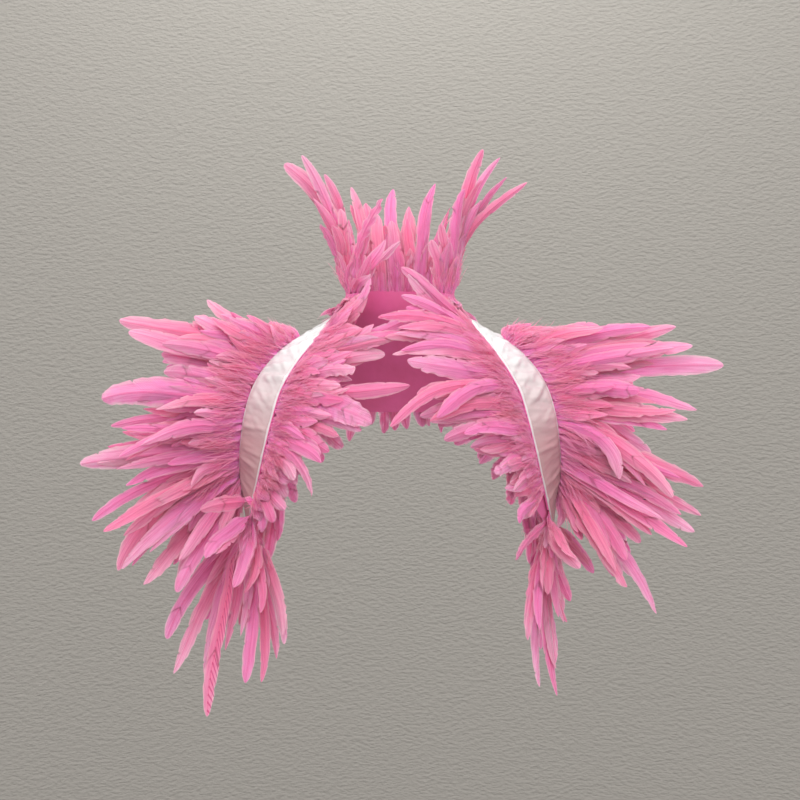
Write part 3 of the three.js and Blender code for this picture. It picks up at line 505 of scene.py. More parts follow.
def shell_faces(rows, columns):
    """The quads of a closed wall between two grids: both faces and the four rims."""
    outer = np.arange(rows * columns).reshape(rows, columns)
    inner = outer + rows * columns
    found = []
    for grid, flip in ((outer, False), (inner, True)):
        quad = np.stack(
            [grid[:-1, :-1], grid[:-1, 1:], grid[1:, 1:], grid[1:, :-1]], axis=-1
        ).reshape(-1, 4)
        found.append(quad[:, ::-1] if flip else quad)
    edge = np.concatenate([outer[0, :], outer[1:, -1], outer[-1, -2::-1], outer[-2:0:-1, 0]])
    other = edge + rows * columns
    after, other_after = np.roll(edge, -1), np.roll(other, -1)
    found.append(np.stack([after, edge, other, other_after], axis=-1))
    return np.vstack(found)


def volume(points, corners):
    """The volume inside quads, below 0 where they face inwards."""
    a, b, c, d = (points[corners[:, k]] for k in range(4))
    return (np.einsum("ij,ij->i", a, np.cross(b, c)) + np.einsum("ij,ij->i", a, np.cross(c, d))).sum() / 6


def shell(outer, inner, u, v, shade):
    """A closed wall of cloth between two grids of points, with its surface coordinates, facing out."""
    rows, columns = outer.shape[:2]
    points = np.concatenate([outer.reshape(-1, 3), inner.reshape(-1, 3)])
    corners = shell_faces(rows, columns)
    if volume(points, corners) < 0:
        corners = corners[:, ::-1]
    uv = np.stack(np.broadcast_arrays(u, v), axis=-1).reshape(-1, 2)
    place = np.concatenate([shade.reshape(-1, 3)] * 2)
    return points, quads(corners), np.concatenate([uv, uv]), {"place": place}


def puckers(run, across, seed, spacing, height):
    """Fine puckers: three sines along the cloth with uneven phases that also wander across."""
    total = np.zeros(np.broadcast(run, across).shape)
    for k, (scale, weight) in enumerate(((1.0, 0.5), (1.7, 0.3), (0.55, 0.4))):
        phase = 6.28 * uneven(seed + k)
        wander = 1.6 * np.sin(across * (0.11 + 0.05 * k) + 6.28 * uneven(seed + 10 + k) + run * 0.05)
        total = total + weight * np.sin(2 * np.pi * run * scale / spacing + phase + wander)
    return height * total


def crease_height(run, across, places, creases, half):
    """Main creases: ridges or troughs exp(-2 (d/broad)^2), d from a slanted line, fading at one edge."""
    total = np.zeros(np.broadcast(run, across).shape)
    for i, crease in enumerate(creases):
        centre = np.interp(crease["at"], *places)
        d = run - centre - across * math.tan(math.radians(crease["slant"]))
        middle = half * (uneven(40 + i) - 0.5)
        fade = np.exp(-(((across - middle) / (1.15 * half)) ** 4))
        total = total + crease["high"] * np.exp(-((d / crease["broad"]) ** 2) * 2) * fade
    return total


def band_half(side, start, end, creases, seed):
    """One half of a band: a ribbon along the ring with creases, puckers, seams and rolled edges."""
    sizes = bpy.context.scene.cape_cloth
    places = np.linspace(start, end, BAND_GRID[0])
    run = ring_length(places)
    across = np.linspace(-0.5, 0.5, BAND_GRID[1]) * BAND_WIDTH
    half = BAND_WIDTH / 2
    window = 1 - np.abs(across / half)[None, :] ** 6
    ends = smooth(0, END_FADE, run)[:, None] * smooth(0, END_FADE, run[-1] - run)[:, None]
    grid_run, grid_across = run[:, None], across[None, :]
    height = puckers(grid_run, grid_across, seed, sizes.pucker_run / MM, sizes.pucker / MM)
    ridges = crease_height(grid_run, grid_across, (places - start, run), creases, half)
    height = height + sizes.crease * ridges
    turned_run, turned_across = grid_run * 0.9 + grid_across * 0.45, 0.8 * grid_across - 0.5 * grid_run
    crumple = CRUMPLE * puckers(turned_run, turned_across, seed + 3, CRUMPLE_RUN, 1.0)
    height = height + sizes.crease * crumple * (1 - smooth(0.45, 0.62, grid_run / run[-1]))
    seam = SEAM_DEEP * np.exp(-(((np.abs(across) - half + SEAM_IN) / SEAM_BROAD) ** 2))[None, :]
    roll = np.abs(across / half)[None, :] ** 8
    height = np.maximum(height, DEEPEST) * window * ends - seam - EDGE_ROLL * roll
    place, normal, outer = ring_frame(places)
    middle = place[:, None] + outer[:, None] * grid_across[..., None]
    normal = normal[:, None]
    top = middle + normal * (BAND_LIFT + BAND_THICK + height)[..., None]
    wall = 0.5 * (1 - 0.6 * roll)
    bottom = top - normal * (BAND_THICK * (wall + 0.25))[..., None]
    u, v = (across / BAND_WIDTH + 0.5)[None, :], (run / UV_ALONG)[:, None]
    # The share down the band from the neck to the underarm, on front and back halves alike; the satin uses
    # it for painted shade.
    down = grid_run / run[-1] if start < 1 else 1 - grid_run / run[-1]
    shade = xyz(down, grid_across / half, 0 * height)
    points, faces, uv, attributes = shell(mirrored(top, side), mirrored(bottom, side), u, v, shade)
    return points, faces, uv, attributes, run[-1]


def cloth_mesh(name, arrays, material):
    """A piece of cloth from a shell's arrays."""
    points, faces, uv, attributes = arrays
    return make_mesh(name, points, faces, uv, attributes, [material])


def panel_grid(side, lift, seed):
    """The front panel: from under the band's inner edge round the figure to its free edge."""
    places = np.linspace(FRONT_PANEL["at"][0], FRONT_PANEL["at"][-1], PANEL_GRID[0])
    edge = on_ring(places, np.full(len(places), CLOTH_EDGE), np.zeros(len(places)))
    free = np.radians(read_table(FRONT_PANEL, "at", "turn", places))
    up = read_table(FRONT_PANEL, "at", "up", places)
    share = np.linspace(0, 1, PANEL_GRID[1])[None, :]
    level = edge[:, 2:3] + up[:, None] * np.minimum(1, share * 2)
    surface = figure_point(mix(turn_of(edge)[:, None], free[:, None], share), level)
    wide, *waves = PANEL_PUCKERS
    wave = puckers(edge[:, 2:3], share * wide, seed, *waves) * smooth(0.1, 0.3, share) * (lift > 0)
    surface = surface + figure_normal(surface) * np.maximum(lift + wave, 0)[..., None]
    surface[:, 0] = on_ring(places, np.full(len(places), CLOTH_EDGE), np.full(len(places), lift))
    return mirrored(surface, side), share, (edge[:, 2:3] - edge[0, 2])


def yoke_grid(lift, seed):
    """The back yoke: level rows across the back from band to band, softly puckered."""
    places = np.linspace(YOKE_LOW, YOKE_HIGH, YOKE_GRID[0])
    edge = on_ring(places, np.full(len(places), CLOTH_EDGE), np.zeros(len(places)))
    turn = turn_of(edge)[:, None]
    share = np.linspace(0, 1, YOKE_GRID[1])[None, :]
    up = smooth(YOKE_HIGH - 0.07, YOKE_HIGH, places)[:, None] * (YOKE_NECK - edge[-1, 2])
    inwards = np.minimum(share, 1 - share)
    level = edge[:, 2:3] + up * np.minimum(1, inwards * 6)
    surface = figure_point(mix(turn, -np.pi - turn, share), level)
    wide, *waves = YOKE_PUCKERS
    wave = puckers(share * wide, level, seed, *waves) * smooth(0, 0.1, inwards) * (lift > 0)
    surface = surface + figure_normal(surface) * np.maximum(lift + wave, 0)[..., None]
    ends = on_ring(places, np.full(len(places), CLOTH_EDGE), np.full(len(places), lift))
    surface[:, 0] = ends
    surface[:, -1] = mirrored(ends, -1)
    return surface, share, level - level.min()


def collar_grid(lift, seed):
    """The collar: a stand round the neck, open and lower in front."""
    share = np.linspace(0, 1, COLLAR_GRID[0])[:, None]
    start = math.radians(COLLAR_FRONT)
    top = mix(COLLAR_TOP - COLLAR_DROP, COLLAR_TOP, np.minimum(1, np.minimum(share, 1 - share) / 0.12))
    level = mix(COLLAR_BOTTOM, top, np.linspace(0, 1, COLLAR_GRID[1])[None, :])
    surface = figure_point(mix(start, -np.pi - start, share), level)
    wide, *waves = COLLAR_PUCKERS
    wave = puckers(share * wide, level, seed, *waves) * (lift > 0)
    surface = surface + figure_normal(surface) * np.maximum(lift + wave, 0)[..., None]
    return surface, share, level - COLLAR_BOTTOM


def grid_shell(make, *, across, **sizes):
    """A wall of CLOTH_THICK from a grid function, with surface coordinates in shares of UV_ALONG."""
    outer, u, v = make(lift=CLOTH_THICK, **sizes)
    inner, _, _ = make(lift=0, **sizes)
    u, v = np.broadcast_arrays(u * across / UV_ALONG, v / UV_ALONG)
    return shell(outer, inner, u, v, xyz(u, v, 0 * u))


def ring_strip(side, span, inner, outer, lift, thick):
    """A flat strip along the ring, for the tape that a row of quills is sewn to."""
    places = np.linspace(*span, TAPE_GRID[0])
    across = np.linspace(inner, outer, TAPE_GRID[1])
    faces = []
    for height in (lift + thick, lift):
        point, normal, out = ring_frame(places)
        grid = point[:, None] + out[:, None] * across[None, :, None] + normal[:, None] * height
        faces.append(mirrored(grid, side))
    u, v = (across[None, :] - inner) / UV_ALONG, ring_length(places)[:, None] / UV_ALONG
    return shell(*faces, u, v, xyz(u + 0 * v, v + 0 * u, 0 * u * v))


def level_strip(tape, start, end):
    """A tape that runs level round the figure between two turns."""
    low, high, lift = tape
    turn = np.linspace(start, end, TAPE_GRID[0])[:, None]
    levels = np.linspace(low, high, TAPE_GRID[1])[None, :]
    surface = figure_point(turn, levels)
    normal = figure_normal(surface)
    u = np.linspace(0, high - low, TAPE_GRID[1])[None, :] / UV_ALONG
    v = (turn - start) * NECK_RADIUS / UV_ALONG
    faces = (surface + normal * (lift + TRIM_THICK), surface + normal * lift)
    return shell(*faces, u, v, xyz(u + 0 * v, v + 0 * u, 0 * u * v))


def rise(chord, turn):
    """How far the middle of an arc stands off its chord when the arc turns by that many degrees."""
    return chord / 2 * np.tan(np.radians(turn) / 4)


def quill_places(at, edge):
    """Where a quill is sewn in, where it leaves the band's edge, and the cloth's direction there."""
    height = np.full(len(at), TRIM_LIFT + TRIM_THICK / 2)
    base = on_ring(at, np.full(len(at), edge * (BAND_WIDTH / 2 - TRIM_TUCK)), height)
    root = on_ring(at, np.full(len(at), edge * (BAND_WIDTH / 2 + ROOT_CLEAR)), height)
    return base, root, ring_frame(at)[1]


def arm_feathers(rows, span, edge, facing):
    """Feathers that stand away from the body: straight chords by aim and reach, bowed by droop."""
    base, root, flat = quill_places(mix(span[0], span[1], rows["at"]), edge)
    aim = np.radians(rows["aim"])
    run, up = xyz(np.cos(aim), 0, np.sin(aim)), xyz(-np.sin(aim), 0, np.cos(aim))
    out = xyz(0, -facing * rows["splay"], 0)
    tip = root + run * rows["reach"][:, None] + out
    bow = rise(rows["reach"], rows["droop"])[:, None]
    middle = root + run * rows["reach"][:, None] / 2 + up * bow + out * 0.7
    face = unit(np.array([0, -facing, 0]) + flat * 0.5)
    return dict(base=base, root=root, flat=flat, middle=middle, tip=tip, face=face, wide=rows["wide"])


def body_feathers(rows, span, facing):
    """Feathers over the chest or the back from a band's inner edge, at a height above the figure."""
    base, root, flat = quill_places(mix(span[0], span[1], rows["at"]), -1)
    aim = np.radians(rows["aim"])
    run, up = xyz(-np.cos(aim), 0, np.sin(aim)), xyz(np.sin(aim), 0, np.cos(aim))

    def over(share, bulge, lift):
        place = root + run * (rows["reach"] * share)[:, None] + up * np.asarray(bulge)[..., None]
        depth = np.maximum(-facing * figure_depth(place[:, 0], place[:, 2], facing), -facing * root[:, 1])
        return xyz(place[:, 0], -facing * (depth + lift), place[:, 2])

    tip = over(1, np.zeros(len(rows)), 5 + rows["splay"])
    middle = over(0.5, rise(rows["reach"], rows["droop"]), 8 + rows["splay"] * 0.7)
    face = unit(figure_normal(middle) + np.array([0, -facing, 0]))
    return dict(base=base, root=root, flat=flat, middle=middle, tip=tip, face=face, wide=rows["wide"])


def in_tape(tape, turn, share):
    """A place inside a level tape, at a share of its height."""
    low, high, lift = tape
    ends = [figure_point(turn, level) for level in (low, high)]
    ends = [end + figure_normal(end) * (lift + TRIM_THICK / 2) for end in ends]
    return mix(ends[0], ends[1], share)


def collar_feathers(rows):
    """The collar's feathers lie against the neck and then lean out by flare and sweep."""
    turn = np.radians(rows["turn"])
    out, round_ = xyz(np.cos(turn), -np.sin(turn), 0), xyz(-np.sin(turn), -np.cos(turn), 0)
    base, root = in_tape(COLLAR_TAPE, turn, 0.45), in_tape(COLLAR_TAPE, turn, 1.2)
    flare, sweep = rows["flare"][:, None], rows["sweep"][:, None]
    square = rows["reach"] ** 2 - rows["flare"] ** 2 - rows["sweep"] ** 2
    rising = np.sqrt(np.maximum(square, 100))[:, None]
    up = np.array([0, 0, 1])
    tip = root + out * flare + round_ * sweep + up * rising
    middle = root + out * (2 + flare * 0.2) + round_ * sweep * 0.4 + up * rising * 0.52
    face = unit(out + xyz(0, -0.9 * np.cos(turn) ** 2, 0))
    return dict(base=base, root=root, flat=out, middle=middle, tip=tip, face=face, wide=rows["wide"])


def collar_skirt(count, seed):
    """Short downy feathers under the collar: from its tape down and out over shoulders and nape."""
    i = np.arange(count)
    turn = np.radians(SKIRT_START - SKIRT_ROUND * (i + uneven(seed + 30 + i)) / count)
    base, root = in_tape(COLLAR_TAPE, turn, 0.5), in_tape(COLLAR_TAPE, turn, 0.9)
    behind = smooth(-0.1, 0.5, -np.sin(turn))
    low = mix(*SKIRT_LOW, behind) - mix(*SKIRT_UNEVEN, behind) * uneven(seed + i)

    def over(level, out):
        place = figure_point(turn, level)
        return place + figure_normal(place) * np.reshape(out, (-1, 1))

    lift = mix(*SKIRT_LIFT, behind)
    middle, tip = over(mix(low, 25, 0.5), lift + 1), over(low, lift + 2 * uneven(seed + 60 + i))
    face, flat = figure_normal(middle), figure_normal(base)
    wide = 11 + 4 * uneven(seed + 90 + i)
    return dict(base=base, root=root, flat=flat, middle=middle, tip=tip, face=face, wide=wide)


def nape_feathers(count, reach_share, lifts, seed):
    """The nape's feathers hang down the back from a level tape, a little fanned."""
    i = np.arange(count)
    share = 2 * (i + 0.5) / count - 1
    turn = -np.pi / 2 - np.radians(NAPE_SPREAD - 3) * share
    base, root = in_tape(NAPE_TAPE, turn, 0.5), in_tape(NAPE_TAPE, turn, -0.2)
    reach = NAPE_REACH * reach_share * (1 + NAPE_UNEVEN * (2 * uneven(seed + i) - 1))
    lean, lift = np.radians(NAPE_FAN * share), np.asarray(lifts, float)[i % len(lifts)]

    def over(part, out):
        x, z = root[:, 0] - np.sin(lean) * reach * part, root[:, 2] - np.cos(lean) * reach * part
        return xyz(x, figure_depth(x, z, -1) + out, z)

    middle, tip = over(0.5, lift * 0.9), over(1, lift)
    wide = np.full(count, float(NAPE_WIDE))
    face, flat = figure_normal(middle), figure_normal(base)
    return dict(base=base, root=root, flat=flat, middle=middle, tip=tip, face=face, wide=wide)


def behind_rows(seed):
    """The evenly placed row behind a shoulder, uneven in reach and aim."""
    i = np.arange(BEHIND_COUNT)
    share = (i + 0.5) / BEHIND_COUNT
    rows = np.zeros(BEHIND_COUNT, FEATHER)
    rows["at"] = share
    rows["aim"] = mix(*BEHIND_AIM, share) + 3 * (uneven(seed + i) - 0.5)
    rows["reach"] = BEHIND_REACH * (1 + BEHIND_UNEVEN * (2 * uneven(seed + 40 + i) - 1))
    rows["droop"] = BEHIND_DROOP + 10 * uneven(seed + 80 + i)
    rows["splay"] = np.array(BEHIND_SPLAY)[i % 3] * (1 - 0.7 * share)
    rows["wide"] = BEHIND_WIDE + 5 * (uneven(seed + 120 + i) - 0.5)
    return rows


# Short feathers that close the low end of each shoulder's front row.
SHOULDER_ENDS = np.array(
    [
        (0.9, -58, 66, 20, 6, 14),
        (0.94, -72, 56, 12, 12, 15),
        (0.97, -64, 72, 24, 2, 15),
        (0.985, -84, 46, 6, 8, 14),
        (0.995, -74, 60, 18, 16, 15),
        (0.96, -50, 84, 26, 10, 15),
    ],
    dtype=FEATHER,
)
LAYER = [
    ("count", int), ("near", float), ("far", float), ("low", float), ("high", float), ("thin", float),
    ("wide", float), ("aim", float), ("fluff", float), ("lift", float), ("stations", int), ("down", int),
    ("close", bool),
]
# Layers of a row, from the longest to the short tufts at the tape. count: feathers; near, far: their
# reach as shares of the row's; low, high: splay; thin, wide: widths; aim: how unevenly they point;
# fluff: how downy; lift: how high they lie on the row; stations: rings of points along each, or 0 for
# down without vanes; down: downy strands on each; close: they lie beside the row's own feathers, so
# that tips come in pairs.
SHOULDER_FRONT_LAYERS = np.array(
    [
        (20, 0.86, 0.98, -8, 4, 12, 17, 3, 0.25, -1.5, 20, 4, True),
        (20, 0.72, 0.9, -6, 6, 12, 16, 5, 0.3, 1, 20, 6, True),
        (24, 0.48, 0.76, -2, 10, 13, 17, 5, 0.5, 1, 16, 10, False),
        (26, 0.34, 0.54, 2, 10, 12, 16, 5, 0.7, 2, 14, 16, False),
        (36, 0.2, 0.42, 2, 8, 10, 14, 6, 1.0, 3, 0, 36, False),
    ],
    dtype=LAYER,
)
SHOULDER_BACK_LAYERS = np.array(
    [
        (18, 0.8, 0.98, -4, 10, 12, 17, 4, 0.3, -1, 18, 6, True),
        (22, 0.45, 0.75, 0, 18, 12, 16, 6, 0.5, 1, 16, 10, False),
        (24, 0.24, 0.42, 0, 14, 11, 15, 7, 0.8, 2, 12, 16, False),
    ],
    dtype=LAYER,
)
CHEST_LAYERS = np.array(
    [
        (15, 0.84, 0.98, -2, 6, 12, 17, 4, 0.3, -1, 18, 6, True),
        (24, 0.55, 0.84, 0, 9, 12, 16, 6, 0.5, 1, 16, 8, False),
        (26, 0.36, 0.58, 3, 10, 12, 16, 6, 0.7, 2, 14, 16, False),
        (34, 0.2, 0.45, 3, 8, 10, 14, 6, 1.0, 2.5, 0, 34, False),
    ],
    dtype=LAYER,
)
UNDERARM_LAYERS = np.array(
    [
        (13, 0.75, 0.98, -4, 6, 11, 16, 4, 0.3, -1, 18, 8, True),
        (16, 0.4, 0.7, 0, 14, 9, 14, 8, 0.6, 1, 14, 16, False),
        (18, 0.2, 0.42, 2, 16, 7, 11, 10, 1.0, 2, 12, 24, False),
    ],
    dtype=LAYER,
)
BACK_LAYERS = np.array(
    [
        (10, 0.8, 0.98, -2, 6, 12, 17, 4, 0.3, -1, 16, 8, True),
        (16, 0.5, 0.8, 0, 10, 10, 15, 8, 0.5, 1, 14, 12, False),
        (18, 0.25, 0.5, 2, 12, 8, 12, 10, 0.9, 2, 12, 20, False),
    ],
    dtype=LAYER,
)
COLLAR_LAYERS = np.array(
    [
        (22, 0.8, 0.98, 0.75, 0.95, 15, 19, 4, 0.3, -1, 20, 4, True),
        (30, 0.5, 0.8, 0.22, 0.5, 14, 18, 5, 0.4, 0, 18, 8, False),
        (34, 0.28, 0.5, 0.0, 0.16, 11, 15, 6, 0.8, 1, 14, 18, False),
    ],
    dtype=LAYER,
)
NAPE_LAYERS = np.array(
    [
        (14, 0.68, 0.8, 18, 26, 14, 18, 0, 0.3, 0, 16, 8, False),
        (18, 0.3, 0.5, 20, 28, 9, 13, 0, 0.9, 2, 12, 22, False),
    ],
    dtype=LAYER,
)
# Feathers of the rows with a look of their own, by row, place along it, style and its value.
ODD_FEATHERS = (
    ("underarm_right", 0.45, "barred", 1), ("underarm_right", 0.45, "blunt", 0.9),
    ("underarm_right", 0.45, "lift", 14), ("chest_right", 0.44, "ruffle", 2.4),
    ("chest_right", 0.44, "blunt", 1), ("chest_right", 0.37, "blunt", 0.7),
    ("chest_right", 0.3, "ruffle", 1.6), ("chest_right", 0.64, "blunt", 0),
    ("chest_right", 0.64, "lift", 7), ("chest_right", 0.64, "wave", 0), ("collar", -212, "ruffle", 2.6),
    ("collar", -212, "wave", 5), ("collar", -212, "blunt", 0.8), ("collar", -223, "stem", 0.9),
    ("collar", 33, "stem", 1), ("collar", 33, "blunt", 1), ("collar", -178, "blunt", 1),
    ("collar", -166, "blunt", 0.9), ("collar", 10, "blunt", 0.8),
    ("shoulder_front_right", 0.48, "blunt", 1),
)


def spread_even(count, seed, uneven_by):
    """Places 0 to 1, one in each equal step, moved a little within it."""
    i = np.arange(count)
    return np.clip((i + 0.5 + uneven_by * (uneven(seed + i) - 0.5)) / count, 0.01, 0.99)


def between(rows, key, layer, seed):
    """Feathers between a row's own, or beside them for a close layer, with the row's sizes there.

    One that is longer than its neighbours stands alone: what fills its place is as long as they are.
    """
    i = np.arange(layer["count"])
    order = np.argsort(rows[key])
    reach = rows["reach"][order]
    beside = (np.append(reach[1:], reach[-1]) + np.append(reach[0], reach[:-1])) / 2
    rows = rows.copy()
    rows["reach"][order] = np.minimum(reach, beside)
    if layer["close"]:
        return rows[i * len(rows) // layer["count"]].copy()
    made = np.zeros(layer["count"], rows.dtype)
    ends = rows[key][order[[0, -1]]]
    made[key] = mix(ends[0], ends[1], spread_even(layer["count"], seed, 0.8))
    for name in rows.dtype.names:
        made[name] = np.interp(made[key], rows[key][order], rows[name][order])
    return made


def fill_rows(rows, layer, seed):
    """A layer of a band's row: aim, reach and droop vary, splay and width have their own ranges.

    One that points well away from the feather before it isn't followed, but its place is covered too.
    """
    i = np.arange(layer["count"])
    steady = rows[np.abs(np.diff(rows["aim"], prepend=rows["aim"][0])) < 60]
    made = between(steady, "at", layer, seed)
    made["at"] *= rows["at"].max() / steady["at"].max()
    made["at"] += 0.016 * (2 * uneven(seed + 600 + i) - 1) * layer["close"]
    made["aim"] += layer["aim"] * (2 * uneven(seed + 100 + i) - 1)
    made["reach"] *= mix(layer["near"], layer["far"], uneven(seed + 200 + i))
    made["droop"] += 24 * (uneven(seed + 300 + i) - 0.4)
    splay = mix(layer["low"], layer["high"], uneven(seed + 400 + i))
    made["splay"] = splay + made["splay"] * layer["close"]
    made["wide"] = mix(layer["thin"], layer["wide"], uneven(seed + 500 + i))
    return made


def collar_fill(rows, layer, seed):
    """A layer of the collar's row: reach, flare and sweep change unevenly."""
    i = np.arange(layer["count"])
    made = between(rows, "turn", layer, seed)
    made["turn"] += 3 * (2 * uneven(seed + 600 + i) - 1)
    made["reach"] *= mix(layer["near"], layer["far"], uneven(seed + 100 + i))
    made["flare"] *= mix(layer["low"], layer["high"], uneven(seed + 200 + i))
    made["sweep"] = made["sweep"] * 0.5 + layer["aim"] * (2 * uneven(seed + 300 + i) - 1)
    made["wide"] = mix(layer["thin"], layer["wide"], uneven(seed + 400 + i))
    return made


def row_groups(name, rows, layers, place, seed, fill=fill_rows):
    """A row's own feathers and its layers, each with the stations and downy strands of a feather."""
    own = styled(place(rows), seed)
    for row, at, style, value in ODD_FEATHERS:
        if row == name:
            own[style] = np.where(rows[rows.dtype.names[0]] == at, value, own[style])
    groups = [(own, OWN_STATIONS, OWN_DOWN)]
    if name.startswith("shoulder_front"):
        groups.append((styled(place(SHOULDER_ENDS), seed + 21, fluff=0.8), 20, 30))
    for k, layer in enumerate(layers):
        made = place(fill(rows, layer, seed + 31 + 40 * k))
        groups.append((layer_styles(made, layer, seed + 40 + 40 * k), layer["stations"], layer["down"]))
    return groups


def layer_styles(feathers, layer, seed):
    """Styles of a layer: slimmer and more pointed than the row's own, the short ones ragged and downy."""
    i = np.arange(len(feathers["wide"])) + seed
    styles = {
        "blunt": 0.9 * uneven(i + 0.1) * (1 - 0.8 * layer["fluff"]),
        "sickle": 7 * (2 * uneven(i + 0.15) - 1),
        "wave": 4 * (2 * uneven(i + 0.2) - 1),
        "ragged": 0.04 + 0.12 * uneven(i + 0.6) ** 2 + 0.14 * layer["fluff"] ** 3,
    }
    return styled(feathers, seed, fluff=layer["fluff"], lift=layer["lift"], **styles)


def styled(feathers, seed, fluff=0.25, lift=0.0, **given):
    """Feathers with their own styles: how blunt, wavy, curled, split and toned each one is."""
    count = len(feathers["wide"])
    i = np.arange(count) + seed
    styles = {
        "blunt": 0.3 + 0.7 * uneven(i + 0.1),
        "stem": np.zeros(count),
        "sickle": 3 * (2 * uneven(i + 0.15) - 1),
        "wave": 4.5 * (2 * uneven(i + 0.2) - 1),
        "curl": 8 * (2 * uneven(i + 0.3) - 0.7),
        "twist": 34 * (2 * uneven(i + 0.4) - 1),
        "cup": 1.6 * uneven(i + 0.5) - 0.3,
        "ragged": 0.04 + 0.13 * uneven(i + 0.6) ** 2,
        "tone": uneven(i + 0.7),
        "warm": uneven(i + 0.8),
        "barred": np.zeros(count),
        "fluff": np.full(count, float(fluff)),
        "ruffle": 1.1 * uneven(i + 0.9) ** 3,
        "lift": np.full(count, float(lift)),
        "seed": i.astype(float),
    }
    for key, value in given.items():
        styles[key] = np.broadcast_to(np.asarray(value, float), (count,)).copy()
    return {**feathers, **styles}


# Columns of points across a vane, in half widths; how many splits a vane has and how far the rings
# beside a split close up on it; how far barbs sweep towards the tip; the shaft's thickness at the tip;
# and a strand of down's half thickness at root and tip, and its bend by its length.
COLUMNS = np.array([-1, -0.62, -0.1, 0, 0.1, 0.62, 1])
SPLITS, SPLIT_CLOSE, BARB_SWEEP, TIP_SHAFT = 3, 0.62, 0.36, 0.35
STRAND_ROOT, STRAND_TIP, STRAND_BEND = 0.3, 0.14, 0.3


def shaft_line(f, s):
    """Each feather's shaft at shares s: from base to root below 0, then a quadratic curve to the tip."""
    bend = 2 * f["middle"] - 0.5 * f["root"] - 0.5 * f["tip"]
    root, tip, base = (f[key][:, None, None] for key in ("root", "tip", "base"))
    bend = bend[:, None, None]
    t = np.clip(s, 0, 1)[..., None]
    curve = root * (1 - t) ** 2 + 2 * bend * t * (1 - t) + tip * t**2
    return np.where(s[..., None] < 0, root + (root - base) * s[..., None], curve)


def feather_frames(f, s):
    """Place, run, side and up of each feather at shares s, with its wave, curl and twist."""
    step = 0.01
    run = unit(shaft_line(f, s + step * (s < 0.5)) - shaft_line(f, s - step * (s >= 0.5)))
    share = smooth(0, 0.35, s)[..., None]
    facing = unit(mix(f["flat"][:, None, None], f["face"][:, None, None], share))
    side = unit(np.cross(run, facing))
    up = unit(np.cross(side, run))
    grow = np.clip(s, 0, 1)
    twist = np.radians(f["twist"])[:, None, None] * grow**1.5
    c, n = np.cos(twist)[..., None], np.sin(twist)[..., None]
    side, up = side * c + up * n, up * c - side * n
    phase = 0.9 * grow + uneven(f["seed"] + 0.35)[:, None, None]
    wave = f["wave"][:, None, None] * np.sin(2 * np.pi * phase) * grow
    wave = wave + f["sickle"][:, None, None] * grow**2.4
    curl = f["curl"][:, None, None] * grow**2.2 + f["lift"][:, None, None] * smooth(0, 0.25, grow)
    place = shaft_line(f, s) + side * wave[..., None] + up * curl[..., None]
    return place, run, side, up


def half_width(f, e):
    """A feather's half width by place: rising from the root, then blunt or pointed at the tip."""
    blunt, stem = f["blunt"][:, None, None], f["stem"][:, None, None]
    power, end = 3 + 6 * blunt, 0.8 - 0.3 * blunt
    inner = np.clip(e, 0, 1)
    body = mix(0.72, 1, smooth(0, 0.45, inner)) * np.maximum(1 - inner**power, 0) ** end
    body = body * mix(1, smooth(0.55, 0.78, inner), stem)
    slow = 1 + 0.1 * np.sin(2 * np.pi * (1.4 * inner + uneven(f["seed"] + 0.45)[:, None, None]))
    return f["wide"][:, None, None] / 2 * body * slow


